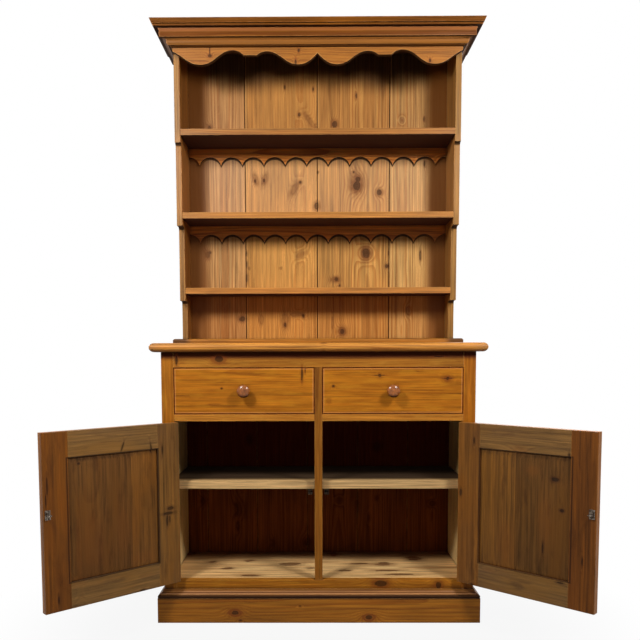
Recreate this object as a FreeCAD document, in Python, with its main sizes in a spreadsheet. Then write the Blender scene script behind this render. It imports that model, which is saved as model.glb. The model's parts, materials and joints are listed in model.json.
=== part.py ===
import FreeCAD, Part
import math
import os
import re
import Sketcher
from FreeCAD import Placement, Rotation, Vector

# Pine dresser: an open plate rack with a mitred cornice, standing on a base with two drawers
# over a cupboard with two inset doors. Millimetres, +Z up, the front faces -Y.
# The origin is the middle of the underside of the front plinth board, on the floor.

doc = FreeCAD.newDocument("dresser")
sheet = doc.addObject("Spreadsheet::Sheet", "Sizes")

sizes = (
    # The whole piece
    ("carcass_width", 1039),
    ("carcass_depth", 363),
    # Worktop
    ("worktop_thick", 30),
    ("worktop_end_overhang", 34),
    ("worktop_front_overhang", 25),
    # Front frame of the base
    ("frame_thick", 23),
    ("stile_width", 41),
    ("muntin_width", 26),
    ("top_rail_width", 51),
    ("drawer_opening_height", 154),
    ("drawer_rail_width", 24),
    ("upper_space_height", 205),
    ("lower_space_height", 305),
    ("floor_height", 141),
    ("bottom_rail_width", 96),
    ("frame_tenon_length", 26),
    ("frame_tenon_thick", 8),
    # Base boards
    ("side_thick", 22),
    ("back_thick", 10),
    ("back_rebate", 12),
    ("board_gap", 2.2),
    ("tongue_length", 5),
    ("housing_depth", 6),
    ("floor_thick", 18),
    ("cupboard_shelf_thick", 27),
    ("cupboard_shelf_setback", 28),
    ("batten_size", 20),
    # Plinth
    ("plinth_height", 84),
    ("plinth_thick", 21),
    ("plinth_mould_height", 28),
    # Plate rack
    ("rack_width", 990),
    ("rack_side_thick", 20),
    ("rack_shelf_thick", 22),
    ("top_bay_height", 317.5),
    ("upper_bay_height", 259),
    ("middle_bay_height", 237),
    ("lowest_bay_height", 160),
    ("lowest_depth", 87),
    ("lower_step", 43),
    ("middle_step", 40),
    ("upper_step", 16),
    ("step_drop", 24),
    ("cove_radius", 12),
    ("housing_stop", 14),
    ("riser_thick", 19),
    ("riser_front_projection", 30),
    ("riser_end_projection", 31),
    ("riser_round", 8),
    ("top_board_thick", 18),
    # Cornice and frieze
    ("cornice_height", 72.5),
    ("cornice_projection", 65),
    ("frieze_thick", 18),
    ("frieze_height", 111),
    ("frieze_wave", 47.5),
    # Scalloped strips under the two upper shelves
    ("scallop_thick", 8),
    ("scallop_height", 61),
    ("scallop_rise", 29),
    # Drawers
    ("drawer_gap", 1.2),
    ("running_gap", 0.3),
    ("drawer_front_thick", 22),
    ("drawer_side_thick", 11),
    ("drawer_headroom", 7.7),
    ("dovetail_length", 15),
    ("dovetail_flare", 2.5),
    ("dovetail_pin_width", 7),
    ("drawer_back_gap", 33),
    ("drawer_bottom_thick", 7),
    ("drawer_bottom_rise", 10),
    ("groove_depth", 5),
    ("runner_thick", 20),
    ("runner_ledge", 20),
    ("guide_height", 25),
    # Turned knobs
    ("knob_radius", 22),
    ("knob_projection", 38),
    ("knob_spigot_radius", 8),
    ("knob_spigot_length", 16),
    ("spigot_clearance", 0.1),
    # Doors
    ("door_gap", 1.7),
    ("door_thick", 23),
    ("door_open_angle", 136.7),
    ("door_stile_width", 80),
    ("door_rail_width", 80),
    ("door_tenon_length", 45),
    ("door_tenon_thick", 8),
    ("panel_edge_thick", 6),
    ("panel_groove", 8),
    ("panel_play", 1),
    ("panel_field_rise", 4),
    ("panel_inner_sink", 4),
    ("panel_bevel", 18),
    ("door_knob_rise", 282.3),
    # Butt hinges
    ("hinge_length", 64),
    ("hinge_inset", 95),
    ("leaf_width", 20),
    ("leaf_thick", 1.5),
    ("leaf_clearance", 0.3),
    ("knuckle_radius", 3.4),
    ("knuckle_clearance", 0.4),
    ("knuckle_end_gap", 0.3),
    ("hinge_pin_radius", 1.75),
    ("hinge_pin_clearance", 0.05),
    ("hinge_pin_tip", 1.5),
    # Spring catches under the cupboard shelf and the tongues they grip
    ("catch_offset", 15),
    ("catch_length", 26),
    ("catch_width", 15),
    ("catch_height", 20),
    ("catch_sheet", 1.2),
    ("catch_setback", 31),
    ("roller_radius", 3.2),
    ("tongue_thick", 4),
    ("tongue_clearance", 0.6),
    ("tongue_width", 9),
    ("tongue_reach", 22),
    ("strike_plate_width", 16),
    ("strike_plate_height", 28),
    ("strike_plate_thick", 1.5),
    # One overrun lets every cutter pass its board
    ("overrun", 1),
)

for row, (alias, amount) in enumerate(sizes, start=1):
    cell = "A%d" % row
    sheet.set(cell, str(amount))
    sheet.setAlias(cell, alias)
doc.recompute()

# Places that several pieces share, worked out from the sizes
places = {
    "face": "plinth_thick/2",
    "rear": "face + carcass_depth",
    "frame_back": "face + frame_thick",
    "back_plane": "rear - back_thick",
    "half_carcass": "carcass_width/2",
    "side_inner": "half_carcass - side_thick",
    "opening_outer": "half_carcass - stile_width",
    "half_muntin": "muntin_width/2",
    "opening_width": "opening_outer - half_muntin",
    "cupboard_shelf_under": "floor_height + lower_space_height",
    "cupboard_shelf_height": "cupboard_shelf_under + cupboard_shelf_thick",
    "cupboard_top": "cupboard_shelf_height + upper_space_height",
    "drawer_floor": "cupboard_top + drawer_rail_width",
    "drawer_top": "drawer_floor + drawer_opening_height",
    "worktop_under": "drawer_top + top_rail_width",
    "worktop_height": "worktop_under + worktop_thick",
    "half_rack": "rack_width/2",
    "rack_inner": "half_rack - rack_side_thick",
    "rack_foot": "worktop_height + riser_thick",
    "lower_shelf_height": "rack_foot + lowest_bay_height + rack_shelf_thick",
    "middle_shelf_height": "lower_shelf_height + middle_bay_height + rack_shelf_thick",
    "upper_shelf_height": "middle_shelf_height + upper_bay_height + rack_shelf_thick",
    "rack_top": "upper_shelf_height + top_bay_height",
    "total_height": "rack_top + top_board_thick",
    "lowest_front": "rear - lowest_depth",
    "third_front": "lowest_front - lower_step",
    "second_front": "third_front - middle_step",
    "upper_front": "second_front - upper_step",
    "frieze_front": "upper_front - frieze_thick",
    "riser_front": "lowest_front - riser_front_projection",
    "half_riser": "half_rack + riser_end_projection",
    "scallop_pitch": "2*rack_inner/12",
    "scallop_radius": "((scallop_pitch/2)^2 + scallop_rise^2)/(2*scallop_rise)",
    "scallop_end_bow": "scallop_radius - sqrt(scallop_radius^2"
                       " - ((scallop_pitch/2)^2 + scallop_rise^2)/4)",
    "drawer_half": "opening_width/2 - drawer_gap",
    "drawer_seat": "drawer_floor + running_gap",
    "drawer_back": "back_plane - drawer_back_gap",
    "drawer_side_top": "drawer_top - drawer_headroom",
    "bottom_under": "drawer_seat + drawer_bottom_rise",
    "bottom_over": "bottom_under + drawer_bottom_thick",
    "door_low": "floor_height + door_gap",
    "door_high": "cupboard_top - door_gap",
    "door_back": "face + door_thick",
    "hinge_across": "opening_outer - door_gap/2",
    "hinge_out": "face - knuckle_radius - knuckle_clearance",
    "leaf_recess": "leaf_thick - (door_gap - leaf_clearance)/2",
    "panel_field": "door_back - panel_inner_sink",
    "panel_back": "panel_field - panel_field_rise",
    "panel_front": "panel_back - panel_edge_thick",
    "door_knob_height": "door_low + door_knob_rise",
    "rail_tenon_front": "face + (door_thick - door_tenon_thick)/2",
    "catch_middle": "cupboard_shelf_under - catch_height/2",
    "catch_front": "face + catch_setback",
}
functions = ("sqrt", "sin", "cos", "abs")


def bind(text):
    """Turn size and place words into references to the sheet."""
    def swap(match):
        word = match.group(0)
        if word in functions:
            return word
        if word in places:
            return "(" + bind(places[word]) + ")"
        return "Sizes." + word
    return re.sub(r"[A-Za-z_][A-Za-z_]*", swap, str(text))


def amount_of(text):
    """The number that an expression stands for now."""
    return float(sheet.evalExpression(bind(text)))


# Makers of plain boards, cuts, joints and groups

def slab(name, across, along, up):
    """A square board between two places on each axis."""
    board = doc.addObject("Part::Box", name)
    for axis, length, (low, high) in zip("xyz", ("Length", "Width", "Height"), (across, along, up)):
        board.setExpression("Placement.Base." + axis, bind(low))
        board.setExpression(length, bind("(%s) - (%s)" % (high, low)))
    return board


def rod(name, centre, radius, length, axis):
    """A round bar that starts at a point and runs along an axis."""
    bar = doc.addObject("Part::Cylinder", name)
    bar.Placement = Placement(Vector(), Rotation(Vector(0, 0, 1), axis))
    for letter, place in zip("xyz", centre):
        bar.setExpression("Placement.Base." + letter, bind(place))
    bar.setExpression("Radius", bind(radius))
    bar.setExpression("Height", bind(length))
    return bar


def cut(name, base, tools):
    """The base with every tool taken away."""
    result = doc.addObject("Part::Cut", name)
    result.Base = base
    result.Tool = join(name + "_cutter", tools) if len(tools) > 1 else tools[0]
    return result


def join(name, pieces):
    """Pieces fused into one."""
    result = doc.addObject("Part::MultiFuse", name)
    result.Shapes = pieces
    return result


def group(name, pieces):
    """Like pieces that share a node and stay separate solids."""
    result = doc.addObject("Part::Compound", name)
    result.Links = pieces
    return result


# Makers of shaped pieces

def plane_of(body, role):
    """One of the body's own origin planes."""
    return [plane for plane in body.Origin.OriginFeatures if plane.Role == role][0]


def draw(sketch, points):
    """A closed outline: each point is (x, y) or (x, y, bow), a bow bending the edge to its left."""
    spots = [Vector(amount_of(point[0]), amount_of(point[1]), 0) for point in points]
    ends = []
    for index, point in enumerate(points):
        start = spots[index]
        finish = spots[(index + 1) % len(points)]
        if len(point) == 2:
            sketch.addGeometry(Part.LineSegment(start, finish))
            ends.append((1, 2))
            continue
        run = finish - start
        left = Vector(-run.y, run.x, 0).normalize()
        bow = amount_of(point[2])
        radius = run.Length**2/(8*abs(bow)) + abs(bow)/2
        centre = (start + finish)/2 + left*(bow - math.copysign(radius, bow))
        first, last = (finish, start) if bow > 0 else (start, finish)
        angles = [math.atan2(spot.y - centre.y, spot.x - centre.x) for spot in (first, last)]
        if angles[1] < angles[0]:
            angles[1] += 2*math.pi
        circle = Part.Circle(centre, Vector(0, 0, 1), radius)
        sketch.addGeometry(Part.ArcOfCircle(circle, *angles))
        ends.append((2, 1) if bow > 0 else (1, 2))
    for index, point in enumerate(points):
        following = (index + 1) % len(points)
        sketch.addConstraint(Sketcher.Constraint(
            "Coincident", index, ends[index][1], following, ends[following][0]))
    for index, point in enumerate(points):
        for kind, number, text in (("DistanceX", spots[index].x, point[0]),
                                   ("DistanceY", spots[index].y, point[1])):
            which = sketch.addConstraint(Sketcher.Constraint(kind, index, ends[index][0], number))
            sketch.setExpression("Constraints[%d]" % which, bind(text))
        if len(point) == 3:
            after = points[(index + 1) % len(points)]
            chord = "((%s)-(%s))^2 + ((%s)-(%s))^2" % (after[0], point[0], after[1], point[1])
            radius = "(%s)/(8*abs(%s)) + abs(%s)/2" % (chord, point[2], point[2])
            which = sketch.addConstraint(
                Sketcher.Constraint("Radius", index, sketch.Geometry[index].Radius))
            sketch.setExpression("Constraints[%d]" % which, bind(radius))


def sketch_on(body, name, role, offset="0"):
    """An empty sketch on one of the body's own planes."""
    sketch = body.newObject("Sketcher::SketchObject", name)
    sketch.AttachmentSupport = [(plane_of(body, role), "")]
    sketch.MapMode = "FlatFace"
    sketch.setExpression("AttachmentOffset.Base.z", bind(offset))
    return sketch


def prism(name, role, span, points):
    """An outline on XY, XZ or YZ, padded between two places on the third axis."""
    body = doc.addObject("PartDesign::Body", name)
    low, high = span
    offset = "-(%s)" % low if role == "XZ" else low
    sketch = sketch_on(body, name + "_outline", role + "_Plane", offset)
    draw(sketch, points)
    pad = body.newObject("PartDesign::Pad", name + "_pad")
    pad.Profile = sketch
    pad.setExpression("Length", bind("(%s) - (%s)" % (high, low)))
    pad.Reversed = role == "XZ"
    return body


def turning(name, points):
    """A half profile turned about the Y axis: each point is (y, radius) or (y, radius, bow)."""
    body = doc.addObject("PartDesign::Body", name)
    sketch = sketch_on(body, name + "_profile", "YZ_Plane")
    draw(sketch, points)
    spin = body.newObject("PartDesign::Revolution", name + "_spin")
    spin.Profile = sketch
    spin.ReferenceAxis = (sketch, ["H_Axis"])
    spin.Angle = 360
    return body


def mitred_run(names, profile, half_width, front, low):
    """A moulding round the front and both sides, mitred at the two front corners.

    The profile's points are (projection, height, bow) with the wall at projection 0.
    """
    reach = max((amount_of(point[0]), point[0]) for point in profile)[1]
    tall = max((amount_of(point[1]), point[1]) for point in profile)[1]
    span_up = ("(%s) - overrun" % low, "(%s) + (%s) + overrun" % (low, tall))

    def corner(name, side, beyond):
        """Everything on one side of the mitre line, as a three-cornered prism."""
        inner = "%d*((%s) - (%s))" % (side, half_width, reach)
        outer = "%d*((%s) + 2*(%s))" % (side, half_width, reach)
        near = "(%s) - 2*(%s)" % (front, reach)
        far = "(%s) + (%s)" % (front, reach)
        third = (outer, far) if beyond else (inner, near)
        points = [(inner, far), (outer, near), third]
        return prism(name, "XY", span_up, points)

    def place(point, across, flip):
        """One profile point set out from the wall."""
        spot = (across % point[0], "(%s) + (%s)" % (low, point[1]))
        if len(point) == 3:
            spot += ("-(%s)" % point[2] if flip else point[2],)
        return spot

    ends = ("-(%s) - (%s)" % (half_width, reach), "(%s) + (%s)" % (half_width, reach))
    length = prism(names[0] + "_length", "YZ", ends,
                   [place(point, "(" + front + ") - (%s)", True) for point in profile])
    corners = [corner(names[0] + "_mitre_left", -1, True),
               corner(names[0] + "_mitre_right", 1, True)]
    pieces = [cut(names[0], length, corners)]
    for name, side in ((names[1], -1), (names[2], 1)):
        across = "%d*((" % side + half_width + ") + (%s))"
        length = prism(name + "_length", "XZ", ("(%s) - (%s)" % (front, reach), "rear"),
                       [place(point, across, side < 0) for point in profile])
        pieces.append(cut(name, length, [corner(name + "_mitre", side, False)]))
    return pieces


# Plate rack: sides that step back under each shelf

def rack_side(name, side):
    """A side board with its stepped front edge, shelf housings and rebate for the back."""
    across = ("rack_inner", "half_rack") if side > 0 else ("-(half_rack)", "-(rack_inner)")
    points = [("rear", "rack_foot"), ("rear", "rack_top"), ("upper_front", "rack_top")]
    fronts = ("upper_front", "second_front", "third_front", "lowest_front")
    shelves = ("upper_shelf_height", "middle_shelf_height", "lower_shelf_height")
    for index, shelf in enumerate(shelves):
        level = shelf + " - rack_shelf_thick - step_drop"
        deeper = fronts[index + 1]
        points.append((fronts[index], level))
        points.append((deeper + " - cove_radius", level, "cove_radius*(1 - sqrt(0.5))"))
        points.append((deeper, level + " - cove_radius"))
    points.append(("lowest_front", "rack_foot"))
    board = prism(name + "_board", "YZ", across, points)
    inner = "%d*(rack_inner)" % side
    deep = "%d*(rack_inner + housing_depth)" % side
    housing = (inner, deep) if side > 0 else (deep, inner)
    cutters = []
    for front, shelf in zip(fronts, shelves):
        cutters.append(slab(name + "_housing", housing, (front + " + housing_stop", "rear"),
                            (shelf + " - rack_shelf_thick", shelf)))
    rebate = (inner, "%d*(rack_inner + back_rebate)" % side)
    cutters.append(slab(name + "_rebate", rebate if side > 0 else rebate[::-1],
                        ("back_plane", "rear + overrun"),
                        ("rack_foot - overrun", "rack_top + overrun")))
    return cut(name, board, cutters)


rack_side_left = rack_side("rack_side_left", -1)
rack_side_right = rack_side("rack_side_right", 1)


def rack_shelf(name, front, height):
    """A shelf between the sides, with both ends let into their stopped housings."""
    up = (height + " - rack_shelf_thick", height)
    board = slab(name + "_board", ("-(rack_inner)", "rack_inner"), (front, "back_plane"), up)
    tongue = slab(name + "_tongue", ("-(rack_inner) - housing_depth", "rack_inner + housing_depth"),
                  (front + " + housing_stop", "back_plane"), up)
    return join(name, [board, tongue])


shelf_upper = rack_shelf("shelf_upper", "upper_front", "upper_shelf_height")
shelf_middle = rack_shelf("shelf_middle", "second_front", "middle_shelf_height")
shelf_lower = rack_shelf("shelf_lower", "third_front", "lower_shelf_height")

rack_top_board = slab("rack_top_board", ("-(half_rack)", "half_rack"), ("frieze_front", "rear"),
                      ("rack_top", "total_height"))


def rounded(name, base, radius, chooser):
    """Edges that the chooser picks, rounded over."""
    doc.recompute()
    result = doc.addObject("Part::Fillet", name)
    result.Base = base
    size = amount_of(radius)
    result.Edges = [(index, size, size) for index, edge in enumerate(base.Shape.Edges, start=1)
                    if chooser(edge.BoundBox)]
    return result


riser_board = slab("rack_riser_board", ("-(half_riser)", "half_riser"), ("riser_front", "rear"),
                   ("worktop_height", "rack_foot"))
riser_top = amount_of("rack_foot")
riser_rear = amount_of("rear")
rack_riser = rounded("rack_riser", riser_board, "riser_round",
                     lambda box: box.ZMin > riser_top - 0.5 and box.YMin < riser_rear - 0.5)


def back_boards(name, joint_shares, half_width, up):
    """Upright tongued and grooved boards with a shrinkage gap between, one solid each."""
    joints = ["(2*(%s) - 1)*(%s)" % (share, half_width) for share in (0,) + joint_shares + (1,)]
    front, middle = "back_plane + back_thick/3", "back_plane + 2*back_thick/3"
    boards = []
    for index in range(len(joints) - 1):
        left, right = joints[index], joints[index + 1]
        if index > 0:
            tip = left + " - tongue_length + panel_play/2"
            left += " + board_gap/2"
            points = [(left, "rear"), (left, middle), (tip, middle), (tip, front), (left, front)]
        else:
            points = [(left, "rear")]
        points.append((left, "back_plane"))
        if index < len(joints) - 2:
            bed = right + " - tongue_length"
            right += " - board_gap/2"
            points += [(right, "back_plane"), (right, front), (bed, front), (bed, middle),
                       (right, middle)]
        else:
            points.append((right, "back_plane"))
        points.append((right, "rear"))
        boards.append(prism("%s_%d" % (name, index + 1), "XY", up, points))
    return group(name, boards)


rack_joint_shares = (0.225, 0.499, 0.773)
rack_back = back_boards("rack_back_boards", rack_joint_shares, "(rack_inner + back_rebate)",
                        ("rack_foot", "rack_top"))


def scallops(name, height):
    """A thin strip under a shelf, cut into a row of round arches between cusps."""
    top = height + " - rack_shelf_thick"
    tip = top + " - scallop_height"
    arch = tip + " + scallop_rise"
    points = [("rack_inner", top), ("-(rack_inner)", top),
              ("-(rack_inner)", arch, "scallop_end_bow")]
    cusps = 12
    for index in range(cusps):
        across = "-(rack_inner) + scallop_pitch*(%d + 0.5)" % index
        points.append((across, tip, "scallop_rise" if index < cusps - 1 else "scallop_end_bow"))
    points.append(("rack_inner", arch))
    return prism(name, "XZ", ("back_plane - scallop_thick", "back_plane"), points)


scallop_upper = scallops("scallop_strip_upper", "upper_shelf_height")
scallop_middle = scallops("scallop_strip_middle", "middle_shelf_height")


# Frieze: smooth waves between a pointed middle and two short flats

def frieze_wave(name):
    """The front board of the rack, its lower edge drawn by smooth curves."""
    half = amount_of("half_rack")
    low = amount_of("rack_top - frieze_height")
    high = amount_of("rack_top")
    wave = amount_of("frieze_wave")
    near = amount_of("frieze_front")
    # Each stop is a share of the half width and a share of the wave's height
    stop_shares = ((0.0, 0.81), (0.132, 0.0), (0.352, 0.92), (0.417, 0.66),
                   (0.509, 0.66), (0.583, 1.0), (0.805, 0.0), (1.0, 0.95))
    # The curves run level through every stop but these, where the edge has a corner
    sharp = (0, 3, 4, 7)
    pull_share = 0.45

    def spot(side, stop):
        return Vector(side*half*stop[0], near, low + wave*stop[1])

    edges = []
    for side in (-1, 1):
        for index in range(len(stop_shares) - 1):
            first = spot(side, stop_shares[index])
            last = spot(side, stop_shares[index + 1])
            if index in sharp and index + 1 in sharp:
                edges.append(Part.makeLine(first, last))
                continue
            reach = Vector((last.x - first.x)*pull_share, 0, 0)
            rise = Vector(0, 0, (last.z - first.z)*pull_share)
            leave = reach*pull_share + rise if index in sharp else reach
            arrive = reach*pull_share + rise if index + 1 in sharp else reach
            if index + 2 == len(stop_shares):
                arrive = reach + rise
            curve = Part.BezierCurve()
            curve.setPoles([first, first + leave, last - arrive, last])
            edges.append(curve.toShape())
    left_end = spot(-1, stop_shares[-1])
    right_end = spot(1, stop_shares[-1])
    corners = [left_end, Vector(-half, near, high), Vector(half, near, high), right_end]
    edges += [Part.makeLine(corners[index], corners[index + 1]) for index in range(3)]
    wire = Part.Wire(Part.__sortEdges__(edges))
    board = Part.Face(wire).extrude(Vector(0, amount_of("frieze_thick"), 0))
    feature = doc.addObject("Part::Feature", name)
    feature.Shape = board
    return feature


frieze = frieze_wave("frieze")

# Cornice: five bands, each set back under the one above, with a lip that leans out. Points are
# shares of its projection and of its height, with the bow of a curved band as a share of the
# height.
cornice_shares = (
    (0.0, 0.0), (0.03, 0.0), (0.12, 0.06), (0.18, 0.06, -0.04), (0.25, 0.3), (0.58, 0.3),
    (0.58, 0.6), (0.62, 0.65), (0.62, 0.685), (0.8, 0.685, -0.045), (0.82, 0.795),
    (0.9, 0.795), (1.0, 1.0), (0.0, 1.0),
)
cornice_profile = [
    tuple("%s*%s" % (share, word) for share, word in
          zip(point, ("cornice_projection", "cornice_height", "cornice_height")))
    for point in cornice_shares
]
cornice = mitred_run(("cornice_front", "cornice_left", "cornice_right"), cornice_profile,
                     "half_rack", "frieze_front", "total_height - cornice_height")

# Worktop: bullnosed along its front and ends, the two rounds meeting in mitred corners
nose = "worktop_thick/2"
nose_bow = "worktop_thick/2*(1 - sqrt(0.5))"
nose_level = "worktop_height - worktop_thick/2"
worktop_half = "(half_carcass + worktop_end_overhang)"
worktop_edge = "(face - worktop_front_overhang)"
worktop_lengthways = prism("worktop_lengthways", "YZ", ("-" + worktop_half, worktop_half), [
    ("rear", "worktop_under"), ("rear", "worktop_height"),
    ("%s + %s" % (worktop_edge, nose), "worktop_height", "-" + nose_bow),
    (worktop_edge, nose_level, "-" + nose_bow),
    ("%s + %s" % (worktop_edge, nose), "worktop_under")])
worktop_crossways = prism("worktop_crossways", "XZ", (worktop_edge, "rear"), [
    ("%s - %s" % (worktop_half, nose), "worktop_under", "-" + nose_bow),
    (worktop_half, nose_level, "-" + nose_bow),
    ("%s - %s" % (worktop_half, nose), "worktop_height"),
    ("%s - %s" % (nose, worktop_half), "worktop_height", "-" + nose_bow),
    ("-" + worktop_half, nose_level, "-" + nose_bow),
    ("%s - %s" % (nose, worktop_half), "worktop_under")])
worktop = doc.addObject("Part::MultiCommon", "worktop")
worktop.Shapes = [worktop_lengthways, worktop_crossways]


# Base: sides with a rebate for the back and a housing for the floor

def base_side(name, side):
    """A side board of the base."""
    def facing(inner, outer):
        pair = ("%d*(%s)" % (side, inner), "%d*(%s)" % (side, outer))
        return pair if side > 0 else pair[::-1]
    board = slab(name + "_board", facing("side_inner", "half_carcass"), ("frame_back", "rear"),
                 ("0", "worktop_under"))
    rebate = slab(name + "_rebate", facing("side_inner", "side_inner + back_rebate"),
                  ("back_plane", "rear + overrun"), ("-overrun", "worktop_under + overrun"))
    housing = slab(name + "_housing", facing("side_inner", "side_inner + housing_depth"),
                   ("frame_back", "back_plane + overrun"),
                   ("floor_height - floor_thick", "floor_height"))
    return cut(name, board, [rebate, housing])


base_side_left = base_side("base_side_left", -1)
base_side_right = base_side("base_side_right", 1)
base_joint_shares = (0.086, 0.272, 0.460, 0.648, 0.834)
base_back = back_boards("base_back_boards", base_joint_shares, "(side_inner + back_rebate)",
                        ("floor_height - floor_thick", "worktop_under"))
cupboard_floor = slab("cupboard_floor", ("-(side_inner) - housing_depth", "side_inner + housing_depth"),
                      ("frame_back", "back_plane"), ("floor_height - floor_thick", "floor_height"))
cupboard_shelf = slab("cupboard_shelf", ("-(side_inner)", "side_inner"),
                      ("face + cupboard_shelf_setback", "back_plane"),
                      ("cupboard_shelf_under", "cupboard_shelf_height"))
battens = []
for side in (-1, 1):
    edge = ["%d*(side_inner)" % side, "%d*(side_inner - batten_size)" % side]
    battens.append(prism("shelf_batten_%s" % ("left" if side < 0 else "right"), "XZ",
                         ("face + cupboard_shelf_setback", "back_plane"),
                         [(edge[0], "cupboard_shelf_under"), (edge[1], "cupboard_shelf_under"),
                          (edge[1], "cupboard_shelf_under - batten_size/2"),
                          ("%d*(side_inner - batten_size/2)" % side,
                           "cupboard_shelf_under - batten_size"),
                          (edge[0], "cupboard_shelf_under - batten_size")]))
shelf_battens = group("shelf_battens", battens)

# Front frame: stiles, rails and a muntin, tenoned together
tenon_front = "(face + (frame_thick - frame_tenon_thick)/2)"
tenon_depth = (tenon_front, tenon_front + " + frame_tenon_thick")
frame_depth = ("face", "frame_back")
rail_levels = {
    "top": ("drawer_top", "worktop_under"),
    "bottom": ("floor_height - bottom_rail_width", "floor_height"),
}


def rail_tenon(name, side, low, high):
    """A tenon at one end of a rail, let into a stile."""
    inner = "%d*(opening_outer)" % side
    outer = "%d*(opening_outer + frame_tenon_length)" % side
    return slab(name, (inner, outer) if side > 0 else (outer, inner), tenon_depth, (low, high))


top_rail_tenons = [rail_tenon("top_rail_tenon", side, "drawer_top + top_rail_width/5",
                              "worktop_under - top_rail_width/4") for side in (-1, 1)]
bottom_rail_tenons = [rail_tenon("bottom_rail_tenon", side,
                                 "floor_height - bottom_rail_width*0.8",
                                 "floor_height - bottom_rail_width/5") for side in (-1, 1)]
drawer_rail_tenons = [rail_tenon("drawer_rail_tenon", side, "cupboard_top + drawer_rail_width/6",
                                 "drawer_floor - drawer_rail_width/6") for side in (-1, 1)]
muntin_tenon_across = ("-(half_muntin) + muntin_width/6", "half_muntin - muntin_width/6")
muntin_tenons = [
    slab("muntin_tenon_top", muntin_tenon_across, tenon_depth,
         ("drawer_top", "drawer_top + frame_tenon_length")),
    slab("muntin_tenon_bottom", muntin_tenon_across, tenon_depth,
         ("floor_height - frame_tenon_length", "floor_height")),
]
rail_stub = "half_muntin - muntin_width/4"
drawer_rail_stubs = [
    slab("drawer_rail_stub", ("-(half_muntin)", "-(%s)" % rail_stub) if side < 0 else
         (rail_stub, "half_muntin"), tenon_depth,
         ("cupboard_top + drawer_rail_width/6", "drawer_floor - drawer_rail_width/6"))
    for side in (-1, 1)]


def hinge_levels():
    """Low and high ends of the two hinges of a door."""
    return (("door_low + hinge_inset", "door_low + hinge_inset + hinge_length"),
            ("door_high - hinge_inset - hinge_length", "door_high - hinge_inset"))


def from_stile(side, near, far):
    """A span across the front, measured from a stile's inner edge towards the middle."""
    pair = ("%d*(opening_outer - (%s))" % (side, near), "%d*(opening_outer - (%s))" % (side, far))
    return pair if side < 0 else pair[::-1]


def leaf_beds(name, side, near, far):
    """Shallow recesses that take the hinge leaves."""
    return [slab(name, from_stile(side, near, far), ("face - overrun", "face + leaf_width"), level)
            for level in hinge_levels()]


def frame_stile(name, side, tenons):
    """An outer upright of the front frame, mortised for its rails and recessed for hinges."""
    across = ("%d*(opening_outer)" % side, "%d*(half_carcass)" % side)
    board = slab(name + "_board", across if side > 0 else across[::-1], frame_depth,
                 ("0", "worktop_under"))
    beds = leaf_beds(name + "_leaf_bed", side, "-(leaf_recess)", "overrun")
    return cut(name, board, tenons + beds)


stile_left = frame_stile("stile_left", -1,
                         [top_rail_tenons[0], bottom_rail_tenons[0], drawer_rail_tenons[0]])
stile_right = frame_stile("stile_right", 1,
                          [top_rail_tenons[1], bottom_rail_tenons[1], drawer_rail_tenons[1]])
top_rail_board = slab("top_rail_board", ("-(opening_outer)", "opening_outer"), frame_depth,
                      rail_levels["top"])
top_rail = cut("top_rail", join("top_rail_blank", [top_rail_board] + top_rail_tenons),
               [muntin_tenons[0]])
bottom_rail_board = slab("bottom_rail_board", ("-(opening_outer)", "opening_outer"), frame_depth,
                         rail_levels["bottom"])
bottom_rail = cut("bottom_rail", join("bottom_rail_blank", [bottom_rail_board] + bottom_rail_tenons),
                  [muntin_tenons[1]])
muntin_board = slab("muntin_board", ("-(half_muntin)", "half_muntin"), frame_depth,
                    ("floor_height", "drawer_top"))
muntin = cut("muntin", join("muntin_blank", [muntin_board] + muntin_tenons), drawer_rail_stubs)
drawer_rails = []
rail_spans = (("drawer_rail_left", ("-(opening_outer)", "-(half_muntin)")),
              ("drawer_rail_right", ("half_muntin", "opening_outer")))
for index, (name, across) in enumerate(rail_spans):
    board = slab(name + "_board", across, frame_depth, ("cupboard_top", "drawer_floor"))
    drawer_rails.append(join(name, [board, drawer_rail_tenons[index], drawer_rail_stubs[index]]))
drawer_rail_pair = group("drawer_rails", drawer_rails)

# Plinth: boards mitred round the front and sides, capped by a cove and torus moulding
plinth = mitred_run(("plinth_front", "plinth_left", "plinth_right"),
                    [("0", "0"), ("plinth_thick", "0"), ("plinth_thick", "plinth_height"),
                     ("0", "plinth_height")], "half_carcass", "face", "0")
mould_shares = (
    (0.0, 0.0), (0.8, 0.0, -0.035), (0.97, 0.19, -0.035), (0.8, 0.38), (0.74, 0.38),
    (0.74, 0.46, 0.1), (0.2, 0.92), (0.2, 1.0), (0.0, 1.0),
)
mould_profile = [
    tuple("%s*%s" % (share, word) for share, word in
          zip(point, ("plinth_thick", "plinth_mould_height", "plinth_mould_height")))
    for point in mould_shares
]
mould_names = ("plinth_mould_front", "plinth_mould_left", "plinth_mould_right")
plinth_mould = group("plinth_mouldings", mitred_run(mould_names, mould_profile, "half_carcass",
                                                    "face", "plinth_height"))

# Drawer runners, each with the guide that keeps its drawer straight
runner_top = "drawer_floor"
runner_low = "drawer_floor - runner_thick"
guide_top = "drawer_floor + guide_height"


def side_runner(name, side):
    """A ledged runner between the side board and a drawer."""
    wall = "%d*(side_inner)" % side
    guide = "%d*(opening_outer)" % side
    ledge = "%d*(opening_outer - runner_ledge)" % side
    points = [(wall, runner_low), (ledge, runner_low), (ledge, runner_top), (guide, runner_top),
              (guide, guide_top), (wall, guide_top)]
    return prism(name, "XZ", ("frame_back", "back_plane"), points)


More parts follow.
